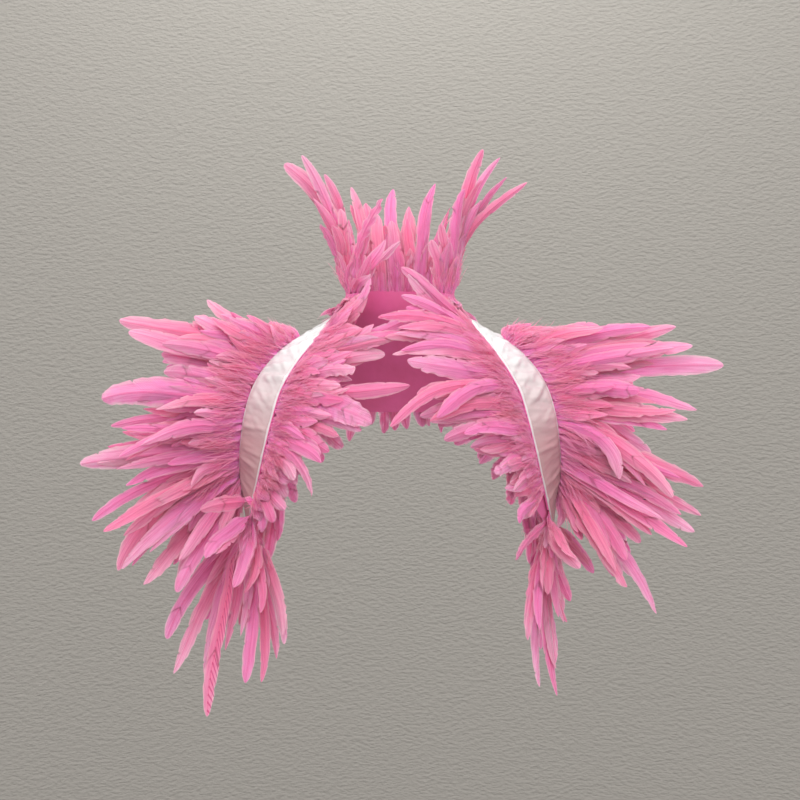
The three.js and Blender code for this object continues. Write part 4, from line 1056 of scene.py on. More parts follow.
def feather_arrays(f, stations):
    """All feathers of a group as closed thin blades, with barb lines that sweep out and with splits.

    A point at share s of the shaft and column v lies at share s + the barbs' sweep, v times the half
    width across, bent back by camber |v|^1.6, with a ridge along the shaft.
    """
    sizes = bpy.context.scene.cape_feathers
    count = len(f["wide"])
    seeds = f["seed"][:, None]
    k = np.arange(stations)
    s = np.concatenate([[-0.9, -0.1], np.linspace(0.03, 0.985, stations - 2) ** 0.93])
    s = np.repeat(s[None, :], count, axis=0)
    split = np.floor(mix(4, stations - 3, uneven(seeds + 0.11 + np.arange(SPLITS)[None, :] * 0.13)))
    gap = (s[:, 8] - s[:, 7])[:, None]
    cut = np.zeros((count, stations, 2))
    for j in range(SPLITS):
        near = k[None, :] - split[:, j : j + 1]
        s = s + np.where(near == -1, SPLIT_CLOSE * gap, 0) - np.where(near == 1, SPLIT_CLOSE * gap, 0)
        depth = np.where(near == 0, mix(0.1, 0.7, uneven(seeds + 0.71 + 0.17 * j) ** 1.5), 0)
        which = (uneven(seeds + 0.53 + 0.19 * j) > 0.5).astype(int)
        cut[..., 0] += depth * (1 - which)
        cut[..., 1] += depth * which
    v = np.concatenate([COLUMNS, COLUMNS[-2:0:-1]])
    front = np.concatenate([np.ones(len(COLUMNS)), -np.ones(len(COLUMNS) - 2)])
    rim = np.abs(v) == 1
    s3, v3 = s[:, :, None], v[None, None, :]
    sweep = BARB_SWEEP * s3 * (1 - s3) * (s3 > 0)
    e = np.where(s3 > 0, s3 + sweep * np.abs(v3) ** 1.2, s3)
    narrow = np.where(v3 < 0, cut[..., 0:1], cut[..., 1:2])
    noise = 2 * uneven(seeds[..., None] * 3.1 + k[None, :, None] * 1.7 + np.sign(v3) * 0.37) - 1
    downy = 3 * f["fluff"][:, None, None] * (1 - smooth(0.05, 0.45, s3))
    fringe_by = f["ragged"][:, None, None] * (1 + downy)
    width = np.where(s3 > 0, half_width(f, e), 1.0)
    narrow = narrow * (np.abs(v3) > 0.5) * np.abs(v3)
    width = width * (1 - narrow) * (1 + fringe_by * noise * np.abs(v3) ** 2)
    width = np.maximum(width, 0.3)
    place, run, side, up = feather_frames(f, e)
    bend = f["cup"][:, None, None] * sizes.camber * np.abs(v3) ** 1.6 * width
    ripple = np.sin(s3 * 40 + 6 * f["tone"][:, None, None])
    bend = bend - f["ruffle"][:, None, None] * ripple * np.abs(v3) ** 2
    shaft = mix(sizes.shaft / MM, TIP_SHAFT, np.clip(s3, 0, 1)) * (np.abs(v3) < 0.05)
    vane = sizes.vane / MM
    thick = np.where(rim[None, None, :], 0, vane / 2 + shaft / 2)
    points = place + side * (v3 * width)[..., None] + up * (front * thick - bend)[..., None]
    tips = feather_frames(f, np.ones((count, 1, 1)))[0][:, 0, 0]
    each = [f[name][:, None, None] + 0 * e for name in ("barred", "tone", "warm", "fluff")]
    values = {"place": xyz(np.clip(e, 0, 1), v3 + 0 * e, each[0]), "shade": xyz(*each[1:])}
    reach = np.linalg.norm(f["tip"] - f["root"], axis=1)[:, None, None]
    start = 0.37 * f["seed"][:, None, None]
    u, v = start + v3 * width / UV_ACROSS, start + 0 * width + (s3 * reach + 10) / UV_ALONG
    uv = np.stack([u, v], axis=-1)
    return blade_arrays(points, tips, uv, values)


def blade_arrays(points, tips, uv, values):
    """Closed tubes from rings of points: a cap at the first ring, quads between, a fan to each tip."""
    count, rings, corners = points.shape[:3]
    each = rings * corners + 1
    first = (np.arange(count) * each)[:, None, None]
    ring = np.arange(rings)[None, :, None] * corners
    corner = np.arange(corners)[None, None, :]
    index = first + ring + corner
    after = first + ring + (corner + 1) % corners
    quad = np.stack([index[:, :-1], after[:, :-1], after[:, 1:], index[:, 1:]], axis=-1).reshape(-1, 4)
    cap = index[:, 0, ::-1].reshape(count, corners)
    tip = (np.arange(count) * each + rings * corners)[:, None]
    fan = np.stack(
        [index[:, -1], after[:, -1], np.broadcast_to(tip, (count, corners))], axis=-1
    ).reshape(-1, 3)
    corners_list = np.concatenate([quad.ravel(), cap.ravel(), fan.ravel()])
    sizes = np.concatenate([np.full(len(quad), 4), np.full(len(cap), corners), np.full(len(fan), 3)])
    starts = np.concatenate([[0], np.cumsum(sizes)[:-1]])

    def flat(grid, last):
        return np.concatenate(
            [grid.reshape(count, rings * corners, -1), last[:, None]], axis=1
        ).reshape(-1, grid.shape[-1])

    all_uv = flat(uv, uv[:, -1, corners // 4])
    all_values = {key: flat(grid, grid[:, -1, corners // 4]) for key, grid in values.items()}
    return flat(points, tips), (starts, sizes, corners_list), all_uv, all_values


def down_arrays(f, each):
    """Downy strands from the edges of each feather's lower part: thin curved threads of three sides."""
    sizes = bpy.context.scene.cape_feathers
    count = len(f["wide"])
    number = np.arange(count * each)
    own = number // each
    g = {key: value[own] for key, value in f.items()}
    seed = g["seed"] * 7.3 + number * 0.61
    s = (0.02 + mix(0.34, 0.75, g["fluff"]) * uneven(seed) ** 1.3)[:, None, None]
    place, run, side, up = (value[:, 0, 0] for value in feather_frames(g, s))
    which = np.where(uneven(seed + 0.2) > 0.5, 1, -1)[:, None]
    width = half_width(g, s)[:, 0]
    start = place + side * which * width * mix(0.5, 0.95, uneven(seed + 0.3))[:, None]
    lean = mix(0.02, 0.55, uneven(seed + 0.4) ** 1.5)[:, None]
    aim = unit(run + side * which * lean + up * (0.32 * uneven(seed + 0.5) - 0.08)[:, None])
    whole = np.linalg.norm(g["tip"] - g["root"], axis=1)
    reach = sizes.down / MM * mix(0.5, 1.2, uneven(seed + 0.6)) * mix(0.6, 1.1, g["fluff"])
    reach = (reach * np.clip(whole / 30, 0.4, 1))[:, None]
    sideways, outwards = 2 * uneven(seed + 0.7) - 1, uneven(seed + 0.8) - 0.5
    bend = unit(side * sideways[:, None] + run * 0.6 + up * outwards[:, None])
    t = np.linspace(0, 0.8, 4)[None, :, None]
    line = start[:, None] + (aim * reach)[:, None] * t + (bend * reach * STRAND_BEND)[:, None] * t**2
    angle = np.arange(3) * 2 * np.pi / 3
    a = unit(np.cross(aim, up + 0.3 * run))
    b = unit(np.cross(a, aim))
    radius = mix(STRAND_ROOT, STRAND_TIP, t)[..., None]
    c, n = np.cos(angle)[None, None, :, None], np.sin(angle)[None, None, :, None]
    ring = c * a[:, None, None] + n * b[:, None, None]
    points = line[:, :, None] + ring * radius
    tips = start + aim * reach + bend * reach * STRAND_BEND
    shape = points.shape[:3]
    tone, warm = (np.broadcast_to(by[:, None, None], shape) for by in (uneven(seed + 0.9), g["warm"]))
    values = {"place": xyz(np.broadcast_to(0.15 + s * 0.6, shape), 0.9, 0), "shade": xyz(tone, warm, 1)}
    uv = np.stack([np.full(shape, 0.6), np.broadcast_to(s * 0.3, shape)], axis=-1)
    return blade_arrays(points, tips, uv, values)


def fringe(name, solid, tape, groups):
    """One row as a piece: its tape, its feathers and their down, standing for the row's solid."""
    tape_points, tape_faces, tape_uv, tape_values = tape
    tape_values = {**tape_values, "shade": np.zeros_like(tape_points)}
    parts = [(tape_points, tape_faces, tape_uv, tape_values, 1)]
    for feathers, stations, down in groups:
        parts += [(*feather_arrays(feathers, stations), 0)] if stations else []
        parts.append((*down_arrays(feathers, down), 0))
    points, faces, uv, attributes, numbers = join_parts(parts)
    made = make_mesh(name, points, faces, uv, attributes, [feather_material(), tape_material()], numbers)
    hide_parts(solid)
    return made


def turned(feathers, side):
    """A group of feathers moved to one side of the body."""
    places = ("base", "root", "middle", "tip", "flat", "face")
    return {key: mirrored(value, side) if key in places else value for key, value in feathers.items()}


def node(tree, kind, inputs=(), **settings):
    """Adds a shader node with its settings; inputs give a value or another node's output for a socket."""
    made = tree.nodes.new("ShaderNode" + kind)
    for name, value in settings.items():
        setattr(made, name, value)
    for name, value in dict(inputs).items():
        if isinstance(value, bpy.types.NodeSocket):
            tree.links.new(value, made.inputs[name])
        else:
            made.inputs[name].default_value = value
    return made


def new_material(name):
    """An empty node material and its tree, or None for the tree where the material is there already."""
    found = bpy.data.materials.get(name)
    if found:
        return found, None
    made = bpy.data.materials.new(name)
    made.use_nodes = True
    made.node_tree.nodes.clear()
    return made, made.node_tree


def feather_material():
    """Dyed cock feather: matt barbs with a faint sheen, magenta down at the root, pale tips, edges
    lightened as painted light.
    """
    made, tree = new_material("dyed_cock_feather")
    if tree is None:
        return made
    colours, sizes = bpy.context.scene.cape_colours, bpy.context.scene.cape_feathers
    add = partial(node, tree)
    place = add("Attribute", attribute_name="place")
    shade = add("Attribute", attribute_name="shade")
    place = add("SeparateXYZ", {0: place.outputs["Vector"]})
    shade = add("SeparateXYZ", {0: shade.outputs["Vector"]})
    surface = add("UVMap", uv_map="surface")
    spot = add("TexCoord")
    blotch = add(
        "TexNoise", {"Vector": spot.outputs["Object"], "Scale": 34.0, "Detail": 3.0, "Roughness": 0.6}
    )
    # Long soft streaks where barbs part: about 1.6 mm across and 30 mm along.
    streak_scale = add(
        "Mapping", {"Vector": surface.outputs[0], "Scale": (0.06 / 0.0016, 0.4 / 0.03, 1.0)}
    )
    streak = add("TexNoise", {"Vector": streak_scale.outputs[0], "Scale": 1.0, "Detail": 3.0})
    barbs = add(
        "TexWave",
        {
            "Vector": surface.outputs[0],
            "Scale": WAVES / sizes.barbs,
            "Distortion": 1.4,
            "Detail": 2.0,
            "Detail Scale": 3.0,
        },
        wave_type="BANDS",
        bands_direction="Y",
    )
    bars = add(
        "TexWave",
        {"Vector": surface.outputs[0], "Scale": WAVES / sizes.bars, "Distortion": 0.6},
        wave_type="BANDS",
        bands_direction="Y",
    )
    warm = add("MapRange", {"Value": shade.outputs["Y"], "From Min": 0.25, "From Max": 0.75})
    body = add(
        "Mix", {0: warm.outputs[0], 6: tuple(colours.candy), 7: tuple(colours.salmon)}, data_type="RGBA"
    )
    far = add(
        "MapRange", {"Value": place.outputs["X"], "From Min": 0.45, "From Max": 1.05, "To Max": 0.85}
    )
    far = add("Math", {0: far.outputs[0], 1: shade.outputs["X"]}, operation="MULTIPLY")
    body = add("Mix", {0: far.outputs[0], 6: body.outputs[2], 7: tuple(colours.tip)}, data_type="RGBA")
    near = add(
        "MapRange",
        {"Value": place.outputs["X"], "From Min": 0.02, "From Max": 0.42, "To Min": 0.9, "To Max": 0.0},
    )
    near = add("Math", {0: near.outputs[0], 1: blotch.outputs["Fac"], 2: -0.1}, operation="MULTIPLY_ADD")
    near = add("Math", {0: near.outputs[0], 1: 1.7}, operation="MULTIPLY", use_clamp=True)
    body = add("Mix", {0: near.outputs[0], 6: body.outputs[2], 7: tuple(colours.root)}, data_type="RGBA")
    edge = add("Math", {0: place.outputs["Y"]}, operation="ABSOLUTE")
    # Painted light: the vane's outer edges are lightened towards the tip colour, for light shining through
    # the thin edges.
    pale = add("MapRange", {"Value": edge.outputs[0], "From Min": 0.7, "From Max": 1.0, "To Max": 0.42})
    body = add("Mix", {0: pale.outputs[0], 6: body.outputs[2], 7: tuple(colours.tip)}, data_type="RGBA")
    lines = add(
        "MapRange",
        {"Value": barbs.outputs["Fac"], "From Min": 0.0, "From Max": 0.5, "To Min": 0.2, "To Max": 0.0},
    )
    # Painted shade: where the streak noise is low the vane is darker, in the partings between the barbs.
    streaks = add(
        "MapRange",
        {
            "Value": streak.outputs["Fac"],
            "From Min": 0.32,
            "From Max": 0.6,
            "To Min": 0.42,
            "To Max": 0.0,
        },
    )
    dark = add("Math", {0: lines.outputs[0], 1: streaks.outputs[0]}, operation="ADD")
    # Deeper colour along the shaft: partly the shaft's own colour and partly painted shade along it.
    shaft = add(
        "MapRange",
        {"Value": edge.outputs[0], "From Min": 0.05, "From Max": 0.14, "To Min": 0.45, "To Max": 0.0},
    )
    dark = add("Math", {0: dark.outputs[0], 1: shaft.outputs[0]}, operation="MAXIMUM")
    bar = add(
        "MapRange", {"Value": bars.outputs["Fac"], "From Min": 0.34, "From Max": 0.14, "To Max": 0.95}
    )
    half = add("Math", {0: place.outputs["Y"], 1: 0.1}, operation="LESS_THAN")
    bar = add("Math", {0: bar.outputs[0], 1: half.outputs[0]}, operation="MULTIPLY")
    bar = add("Math", {0: bar.outputs[0], 1: place.outputs["Z"]}, operation="MULTIPLY")
    dark = add("Math", {0: dark.outputs[0], 1: bar.outputs[0]}, operation="MAXIMUM", use_clamp=True)
    body = add("Mix", {0: dark.outputs[0], 6: body.outputs[2], 7: tuple(colours.deep)}, data_type="RGBA")
    relief = add("Math", {0: barbs.outputs["Fac"], 1: streak.outputs["Fac"]}, operation="ADD")
    bump = add("Bump", {"Height": relief.outputs[0], "Strength": 0.3, "Distance": 0.0005})
    shader = add(
        "BsdfPrincipled",
        {
            "Base Color": body.outputs[2],
            "Roughness": 0.62,
            "Specular IOR Level": 0.3,
            "Subsurface Weight": 0.5,
            "Subsurface Radius": (1.0, 0.45, 0.6),
            "Subsurface Scale": 0.004,
            "Sheen Weight": 0.4,
            "Sheen Tint": linear("#ffe6f6"),
            "Sheen Roughness": 0.4,
            "Normal": bump.outputs[0],
        },
    )
    add("OutputMaterial", {"Surface": shader.outputs[0]})
    return made


def tape_material():
    """Cotton tape: plain woven, matt, dyed with the feathers."""
    made, tree = new_material("dyed_cotton_tape")
    if tree is None:
        return made
    colours, sizes = bpy.context.scene.cape_colours, bpy.context.scene.cape_cloth
    add = partial(node, tree)
    surface = add("UVMap", uv_map="surface")
    ribs = add(
        "TexWave",
        {"Vector": surface.outputs[0], "Scale": WAVES / (1.5 * sizes.weave), "Distortion": 0.3},
        wave_type="BANDS",
        bands_direction="Y",
    )
    body = add(
        "Mix", {0: ribs.outputs["Fac"], 6: tuple(colours.deep), 7: tuple(colours.root)}, data_type="RGBA"
    )
    bump = add("Bump", {"Height": ribs.outputs["Fac"], "Strength": 0.4, "Distance": 0.0003})
    shader = add(
        "BsdfPrincipled",
        {
            "Base Color": body.outputs[2],
            "Roughness": 0.85,
            "Sheen Weight": 0.1,
            "Normal": bump.outputs[0],
        },
    )
    add("OutputMaterial", {"Surface": shader.outputs[0]})
    return made


def satin_material():
    """Polyester satin ribbon: long floats give a soft bright sheen; sewn down near both edges."""
    made, tree = new_material("ivory_satin_ribbon")
    if tree is None:
        return made
    colours, sizes = bpy.context.scene.cape_colours, bpy.context.scene.cape_cloth
    add = partial(node, tree)
    place = add("Attribute", attribute_name="place")
    place = add("SeparateXYZ", {0: place.outputs["Vector"]})
    surface = add("UVMap", uv_map="surface")
    spot = add("TexCoord")
    cloud = add(
        "TexNoise", {"Vector": spot.outputs["Object"], "Scale": 60.0, "Detail": 4.0, "Roughness": 0.55}
    )
    # Painted shade: from a fifth of the way down to three fifths, the satin turns towards the darker,
    # pinker shade colour.
    low = add("MapRange", {"Value": place.outputs["X"], "From Min": 0.2, "From Max": 0.6})
    low = add("Math", {0: low.outputs[0], 1: 0.9}, operation="MULTIPLY")
    body = add(
        "Mix", {0: low.outputs[0], 6: tuple(colours.satin), 7: tuple(colours.satin_low)}, data_type="RGBA"
    )
    weave = add(
        "TexWave",
        {"Vector": surface.outputs[0], "Scale": WAVES / sizes.weave, "Distortion": 0.5},
        wave_type="BANDS",
        bands_direction="Y",
    )
    # Stitches: a dash every stitch length along the band, in a thin line 3 mm in from each edge.
    stitches = add(
        "TexWave",
        {"Vector": surface.outputs[0], "Scale": WAVES / sizes.stitch},
        wave_type="BANDS",
        bands_direction="Y",
    )
    edge = add("Math", {0: place.outputs["Y"]}, operation="ABSOLUTE")
    # Painted highlight: a light line along each rolled edge, where the satin turns from the painted shade
    # colour back to the plain satin colour.
    rim = add("MapRange", {"Value": edge.outputs[0], "From Min": 0.9, "From Max": 0.95, "To Max": 0.7})
    body = add("Mix", {0: rim.outputs[0], 6: body.outputs[2], 7: tuple(colours.satin)}, data_type="RGBA")
    line = add("Math", {0: edge.outputs[0], 1: 0.85, 2: 0.022}, operation="COMPARE")
    dash = add("Math", {0: line.outputs[0], 1: stitches.outputs["Fac"]}, operation="MULTIPLY")
    # Painted shade in the stitch dents: the dashes turn towards the darker shade colour of the satin.
    dent = add("Math", {0: dash.outputs[0], 1: 0.35}, operation="MULTIPLY")
    body = add(
        "Mix", {0: dent.outputs[0], 6: body.outputs[2], 7: tuple(colours.satin_low)}, data_type="RGBA"
    )
    wavy = add("Bump", {"Height": cloud.outputs["Fac"], "Strength": 0.35, "Distance": 0.004})
    fine = add(
        "Bump",
        {"Height": weave.outputs["Fac"], "Strength": 0.08, "Distance": 0.0003, "Normal": wavy.outputs[0]},
    )
    sunk = add(
        "Bump",
        {"Height": dash.outputs[0], "Strength": 0.5, "Distance": 0.0005, "Normal": fine.outputs[0]},
        invert=True,
    )
    shader = add(
        "BsdfPrincipled",
        {
            "Base Color": body.outputs[2],
            "Roughness": 0.27,
            "Specular IOR Level": 0.85,
            "Anisotropic": 0.4,
            "Sheen Weight": 0.15,
            "Sheen Roughness": 0.3,
            "Normal": sunk.outputs[0],
        },
    )
    add("OutputMaterial", {"Surface": shader.outputs[0]})
    return made


def base_material():
    """Pink polyester satin base cloth: a soft sheen and a fine weave, mostly under the feathers."""
    made, tree = new_material("pink_satin_cloth")
    if tree is None:
        return made
    colours, sizes = bpy.context.scene.cape_colours, bpy.context.scene.cape_cloth
    add = partial(node, tree)
    surface = add("UVMap", uv_map="surface")
    spot = add("TexCoord")
    cloud = add(
        "TexNoise", {"Vector": spot.outputs["Object"], "Scale": 40.0, "Detail": 4.0, "Roughness": 0.55}
    )
    weave = add(
        "TexWave",
        {"Vector": surface.outputs[0], "Scale": WAVES / sizes.weave, "Distortion": 0.5},
        wave_type="BANDS",
        bands_direction="DIAGONAL",
    )
    tint = add("Math", {0: cloud.outputs["Fac"], 1: 0.6}, operation="MULTIPLY")
    body = add(
        "Mix", {0: tint.outputs[0], 6: tuple(colours.base), 7: tuple(colours.root)}, data_type="RGBA"
    )
    wavy = add("Bump", {"Height": cloud.outputs["Fac"], "Strength": 0.3, "Distance": 0.003})
    fine = add(
        "Bump",
        {"Height": weave.outputs["Fac"], "Strength": 0.1, "Distance": 0.0003, "Normal": wavy.outputs[0]},
    )
    shader = add(
        "BsdfPrincipled",
        {
            "Base Color": body.outputs[2],
            "Roughness": 0.45,
            "Sheen Weight": 0.2,
            "Normal": fine.outputs[0],
        },
    )
    add("OutputMaterial", {"Surface": shader.outputs[0]})
    return made


def room_material():
    """Painted plaster: matt warm grey with a faint trowelled texture."""
    made, tree = new_material("painted_plaster")
    if tree is None:
        return made
    colours = bpy.context.scene.cape_colours
    add = partial(node, tree)
    spot = add("TexCoord")
    flat = add("Mapping", {"Vector": spot.outputs["Object"], "Scale": (55.0, 55.0, 120.0)})
    grain = add("TexNoise", {"Vector": flat.outputs[0], "Scale": 1.0, "Detail": 3.0, "Roughness": 0.5})
    bump = add("Bump", {"Height": grain.outputs["Fac"], "Strength": 0.55, "Distance": 0.011})
    shader = add(
        "BsdfPrincipled",
        {
            "Base Color": tuple(colours.room),
            "Roughness": 0.9,
            "Specular IOR Level": 0.2,
            "Normal": bump.outputs[0],
        },
    )
    add("OutputMaterial", {"Surface": shader.outputs[0]})
    return made


class CAPE_OT_bands(Operator):
    """Makes the four halves of the satin armhole bands."""

    bl_idname = "cape.bands"
    bl_label = "Satin bands"

    def execute(self, context):
        sides = ((1, "left", CREASES_LEFT), (-1, "right", CREASES_RIGHT))
        for number, (side, label, creases) in enumerate(sides):
            for part, start in (("front", 0), ("back", 1)):
                seed = 11 + 7 * number + 3 * start
                *arrays, run = band_half(side, start + SEAM, start + 1 - SEAM, creases, seed)
                made = cloth_mesh(f"satin_band_{part}_{label}", arrays, satin_material())
                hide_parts(f"band_{part}_{label}")
        return {"FINISHED"}


class CAPE_OT_base_cloth(Operator):
    """Makes the front panels, the back yoke and the collar."""

    bl_idname = "cape.base_cloth"
    bl_label = "Base cloth"

    def execute(self, context):
        pieces = [
            ("yoke_back", grid_shell(yoke_grid, across=250, seed=61), (0.262, 0.135), 0.0248, "laid"),
            ("collar", grid_shell(collar_grid, across=270, seed=71), (0.29, 0.031), 0.0085, "stretched"),
        ]
        for side, label in ((1, "left"), (-1, "right")):
            arrays = grid_shell(panel_grid, across=90, side=side, seed=51 + side)
            pieces.append((f"panel_front_{label}", arrays, (0.06, 0.22), 0.0099, "laid"))
        for name, arrays, flat, area, held in pieces:
            made = cloth_mesh(f"cloth_{name}", arrays, base_material())
            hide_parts(name)
        return {"FINISHED"}


def band_fringe(row, label, side, span, edge, groups):
    """A row that is sewn to a tape under one edge of a band."""
    middle = edge * (BAND_WIDTH / 2 - TRIM_TUCK)
    tape = ring_strip(side, span, middle - TRIM_WIDTH / 2, middle + TRIM_WIDTH / 2, TRIM_LIFT, TRIM_THICK)
    groups = [(turned(feathers, side), *rest) for feathers, *rest in groups]
    fringe(f"feathers_{row}_{label}", f"fringe_{row}_{label}", tape, groups)


class CAPE_OT_arm_fringes(Operator):
    """Makes the rows round the arms: over each shoulder, in front and behind, and under the arm."""

    bl_idname = "cape.arm_fringes"
    bl_label = "Arm fringes"

    def execute(self, context):
        sides = (
            (1, "left", SHOULDER_LEFT_ARM, UNDERARM_LEFT),
            (-1, "right", SHOULDER_RIGHT_ARM, UNDERARM_RIGHT),
        )
        for side, label, shoulder, underarm in sides:
            seed = 1000 + 300 * side
            behind = behind_rows(200 + 50 * side)
            table = (
                ("shoulder_front", SHOULDER_FRONT_SPAN, 1, 1, shoulder, SHOULDER_FRONT_LAYERS),
                ("shoulder_back", SHOULDER_BACK_SPAN, 1, -1, behind, SHOULDER_BACK_LAYERS),
                ("underarm", UNDERARM_SPAN, -1, 1, underarm, UNDERARM_LAYERS),
            )
            for number, (row, span, edge, facing, rows, layers) in enumerate(table):
                place = partial(arm_feathers, span=span, edge=edge, facing=facing)
                groups = row_groups(f"{row}_{label}", rows, layers, place, seed + 5 * number)
                band_fringe(row, label, side, span, edge, groups)
        return {"FINISHED"}


class CAPE_OT_body_fringes(Operator):
    """Makes the rows of feathers over the chest and down the back."""

    bl_idname = "cape.body_fringes"
    bl_label = "Body fringes"

    def execute(self, context):
        for side, label, chest in ((1, "left", CHEST_LEFT), (-1, "right", CHEST_RIGHT)):
            seed = 3000 + 300 * side
            table = (
                ("chest", CHEST_SPAN, 1, chest, CHEST_LAYERS),
                ("back", BACK_SPAN, -1, BACK_INNER, BACK_LAYERS),
            )
            for number, (row, span, facing, rows, layers) in enumerate(table):
                place = partial(body_feathers, span=span, facing=facing)
                groups = row_groups(f"{row}_{label}", rows, layers, place, seed + 5 * number)
                band_fringe(row, label, side, span, -1, groups)
        groups = [(styled(nape_feathers(NAPE_COUNT, 1.0, NAPE_LIFTS, 700), 5000), OWN_STATIONS, OWN_DOWN)]
        for k, layer in enumerate(NAPE_LAYERS):
            reach = (layer["near"] + layer["far"]) / 2
            made = nape_feathers(layer["count"], reach, (layer["high"], layer["low"]), 760 + 30 * k)
            groups.append((layer_styles(made, layer, 5040 + 40 * k), layer["stations"], layer["down"]))
        spread = math.radians(NAPE_SPREAD)
        tape = level_strip(NAPE_TAPE, spread - math.pi / 2, -spread - math.pi / 2)
        fringe("feathers_nape", "fringe_nape", tape, groups)
        return {"FINISHED"}


class CAPE_OT_collar_fringe(Operator):
    """Makes the row of feathers that stands round the neck."""

    bl_idname = "cape.collar_fringe"
    bl_label = "Collar fringe"

    def execute(self, context):
        groups = row_groups("collar", COLLAR_ROW, COLLAR_LAYERS, collar_feathers, 7000, collar_fill)
        skirt = styled(collar_skirt(SKIRT_COUNT, SKIRT_SEED), SKIRT_SEED, fluff=0.8, blunt=0.4, cup=0.4)
        groups.append((skirt, 14, 12))
        start = math.radians(COLLAR_FRONT - 1)
        tape = level_strip(COLLAR_TAPE, start, -math.pi - start)
        fringe("feathers_collar", "fringe_collar", tape, groups)
        return {"FINISHED"}


# The room, in metres: the flat floor's radius, its curve up into the wall, its depth below the neck and
# the wall's levels above the floor. The lights: name, place, aim, size, power in watts and tint.
FLOOR_RADIUS, FLOOR_CURVE, FLOOR_DEPTH, WALL_LEVELS = 2.6, 0.6, 2.1, [1.6, 2.8, 4.6]
MIDDLE = (0, 0, -0.1)
LIGHTS = (
    ("key", (-0.35, -1.5, 1.6), MIDDLE, 1.4, 24.5, "#fbf8f8"),
    ("fill", (0.5, -2.2, 0.3), MIDDLE, 1.8, 13.0, "#ffffff"),
    ("rim", (0.3, 1.6, 1.5), MIDDLE, 1.4, 8.0, "#ffffff"),
    ("wall", (0.0, 1.6, 2.3), (0, 3.2, 1.0), 1.2, 34.0, "#fffdf8"),
)
CAMERA_PLACE, CAMERA_LENS = (0, -1.5, -0.084), 64.3


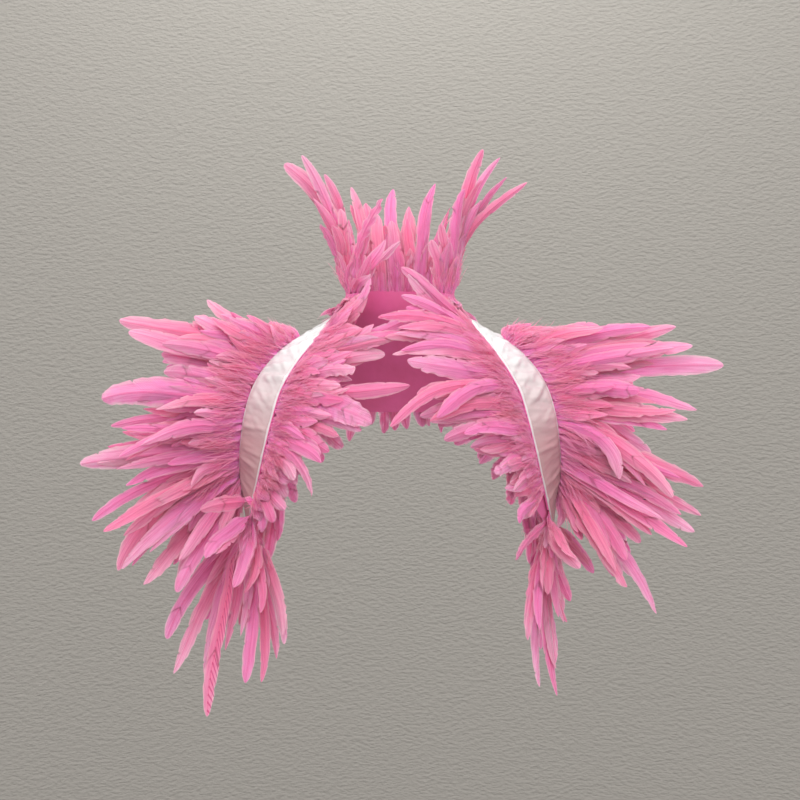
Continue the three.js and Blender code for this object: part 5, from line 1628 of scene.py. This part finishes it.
class CAPE_OT_stage(Operator):
    """Makes the plain room, the soft lights and the camera."""

    bl_idname = "cape.stage"
    bl_label = "Room, lights and camera"

    def execute(self, context):
        scene = context.scene
        # The room is turned from one profile: a floor that curves up into a wall, radius against height.
        bend = np.linspace(0.1, np.pi / 2, 12)
        flat, curve = np.linspace(0.02, FLOOR_RADIUS, 12), FLOOR_RADIUS + FLOOR_CURVE * np.sin(bend)
        r = np.concatenate([flat, curve, [FLOOR_RADIUS + FLOOR_CURVE] * len(WALL_LEVELS)])
        rising = FLOOR_CURVE - FLOOR_CURVE * np.cos(bend)
        z = np.concatenate([0 * flat, rising, WALL_LEVELS]) - FLOOR_DEPTH
        turn = np.linspace(0, 2 * np.pi, 97)[:-1]
        points = xyz(r[:, None] * np.cos(turn), r[:, None] * np.sin(turn), z[:, None] + 0 * turn)
        index = np.arange(points[..., 0].size).reshape(points.shape[:2])
        after = np.roll(index, -1, axis=1)
        ring = np.stack([index[:-1], after[:-1], after[1:], index[1:]], axis=-1).reshape(-1, 4)
        mesh = bpy.data.meshes.new("room")
        mesh.from_pydata(points.reshape(-1, 3).tolist(), [], [*ring.tolist(), index[0, ::-1].tolist()])
        mesh.polygons.foreach_set("use_smooth", np.ones(len(mesh.polygons), bool))
        mesh.materials.append(room_material())
        room = bpy.data.objects.new("room", mesh)
        scene.collection.objects.link(room)
        # The daylight reaches the cape from all round, so the room's walls only show and don't shade it.
        room.visible_diffuse = room.visible_shadow = False

        # Daylight from above: the sky's strength grows from straight down to straight up.
        world = bpy.data.worlds.new("soft_daylight")
        world.use_nodes = True
        tree = world.node_tree
        tree.nodes.clear()
        add = partial(node, tree)
        direction = add("TexCoord")
        direction = add("SeparateXYZ", {0: direction.outputs["Generated"]})
        strength = add(
            "MapRange",
            {
                "Value": direction.outputs["Z"],
                "From Min": -0.8,
                "From Max": 0.9,
                "To Min": 0.26,
                "To Max": 1.2,
            },
        )
        sky = add("Background", {"Color": linear("#fffaf5"), "Strength": strength.outputs[0]})
        add("OutputWorld", {"Surface": sky.outputs[0]})
        scene.world = world
        scene.view_settings.view_transform = "Standard"
        for name, place, aim, size, power, tint in LIGHTS:
            light = bpy.data.lights.new(name, "AREA")
            light.shape = "DISK"
            light.size = size
            light.energy = power
            light.color = linear(tint)[:3]
            lamp = bpy.data.objects.new(name, light)
            lamp.location = place
            lamp.visible_camera = False
            towards = Vector(aim) - Vector(place)
            lamp.rotation_euler = towards.to_track_quat("-Z", "Y").to_euler()
            scene.collection.objects.link(lamp)

        camera = bpy.data.cameras.new("camera")
        camera.sensor_width = 36
        camera.lens = CAMERA_LENS
        made = bpy.data.objects.new("camera", camera)
        made.location = CAMERA_PLACE
        made.rotation_euler = (math.radians(90), 0, 0)
        scene.collection.objects.link(made)
        scene.camera = made
        return {"FINISHED"}


PARTS = (
    CAPE_OT_bands,
    CAPE_OT_base_cloth,
    CAPE_OT_arm_fringes,
    CAPE_OT_body_fringes,
    CAPE_OT_collar_fringe,
    CAPE_OT_stage,
)


class CAPE_PT_parts(Panel):
    """Lists the sizes, the colours and the pieces of the cape."""

    bl_idname = "CAPE_PT_parts"
    bl_label = "Feather cape"
    bl_space_type = "VIEW_3D"
    bl_region_type = "UI"
    bl_category = "Cape"

    def draw(self, context):
        for group in (context.scene.cape_cloth, context.scene.cape_feathers, context.scene.cape_colours):
            box = self.layout.box()
            for name in group.__annotations__:
                box.prop(group, name)
        for part in PARTS:
            self.layout.operator(part.bl_idname)


GROUPS = (
    ("cape_cloth", CapeClothSizes),
    ("cape_feathers", CapeFeatherSizes),
    ("cape_colours", CapeColours),
)


def register():
    """Adds the property groups, the operators and the panel."""
    for name, group in GROUPS:
        bpy.utils.register_class(group)
        setattr(bpy.types.Scene, name, PointerProperty(type=group))
    for part in (*PARTS, CAPE_PT_parts):
        bpy.utils.register_class(part)


def unregister():
    """Takes them out again."""
    for part in (CAPE_PT_parts, *reversed(PARTS)):
        bpy.utils.unregister_class(part)
    for name, group in reversed(GROUPS):
        delattr(bpy.types.Scene, name)
        bpy.utils.unregister_class(group)


def main():
    """Builds the cape."""
    register()
    bpy.ops.cape.stage()
    bpy.ops.cape.bands()
    bpy.ops.cape.base_cloth()
    bpy.ops.cape.arm_fringes()
    bpy.ops.cape.body_fringes()
    bpy.ops.cape.collar_fringe()


if __name__ == "__main__":
    main()
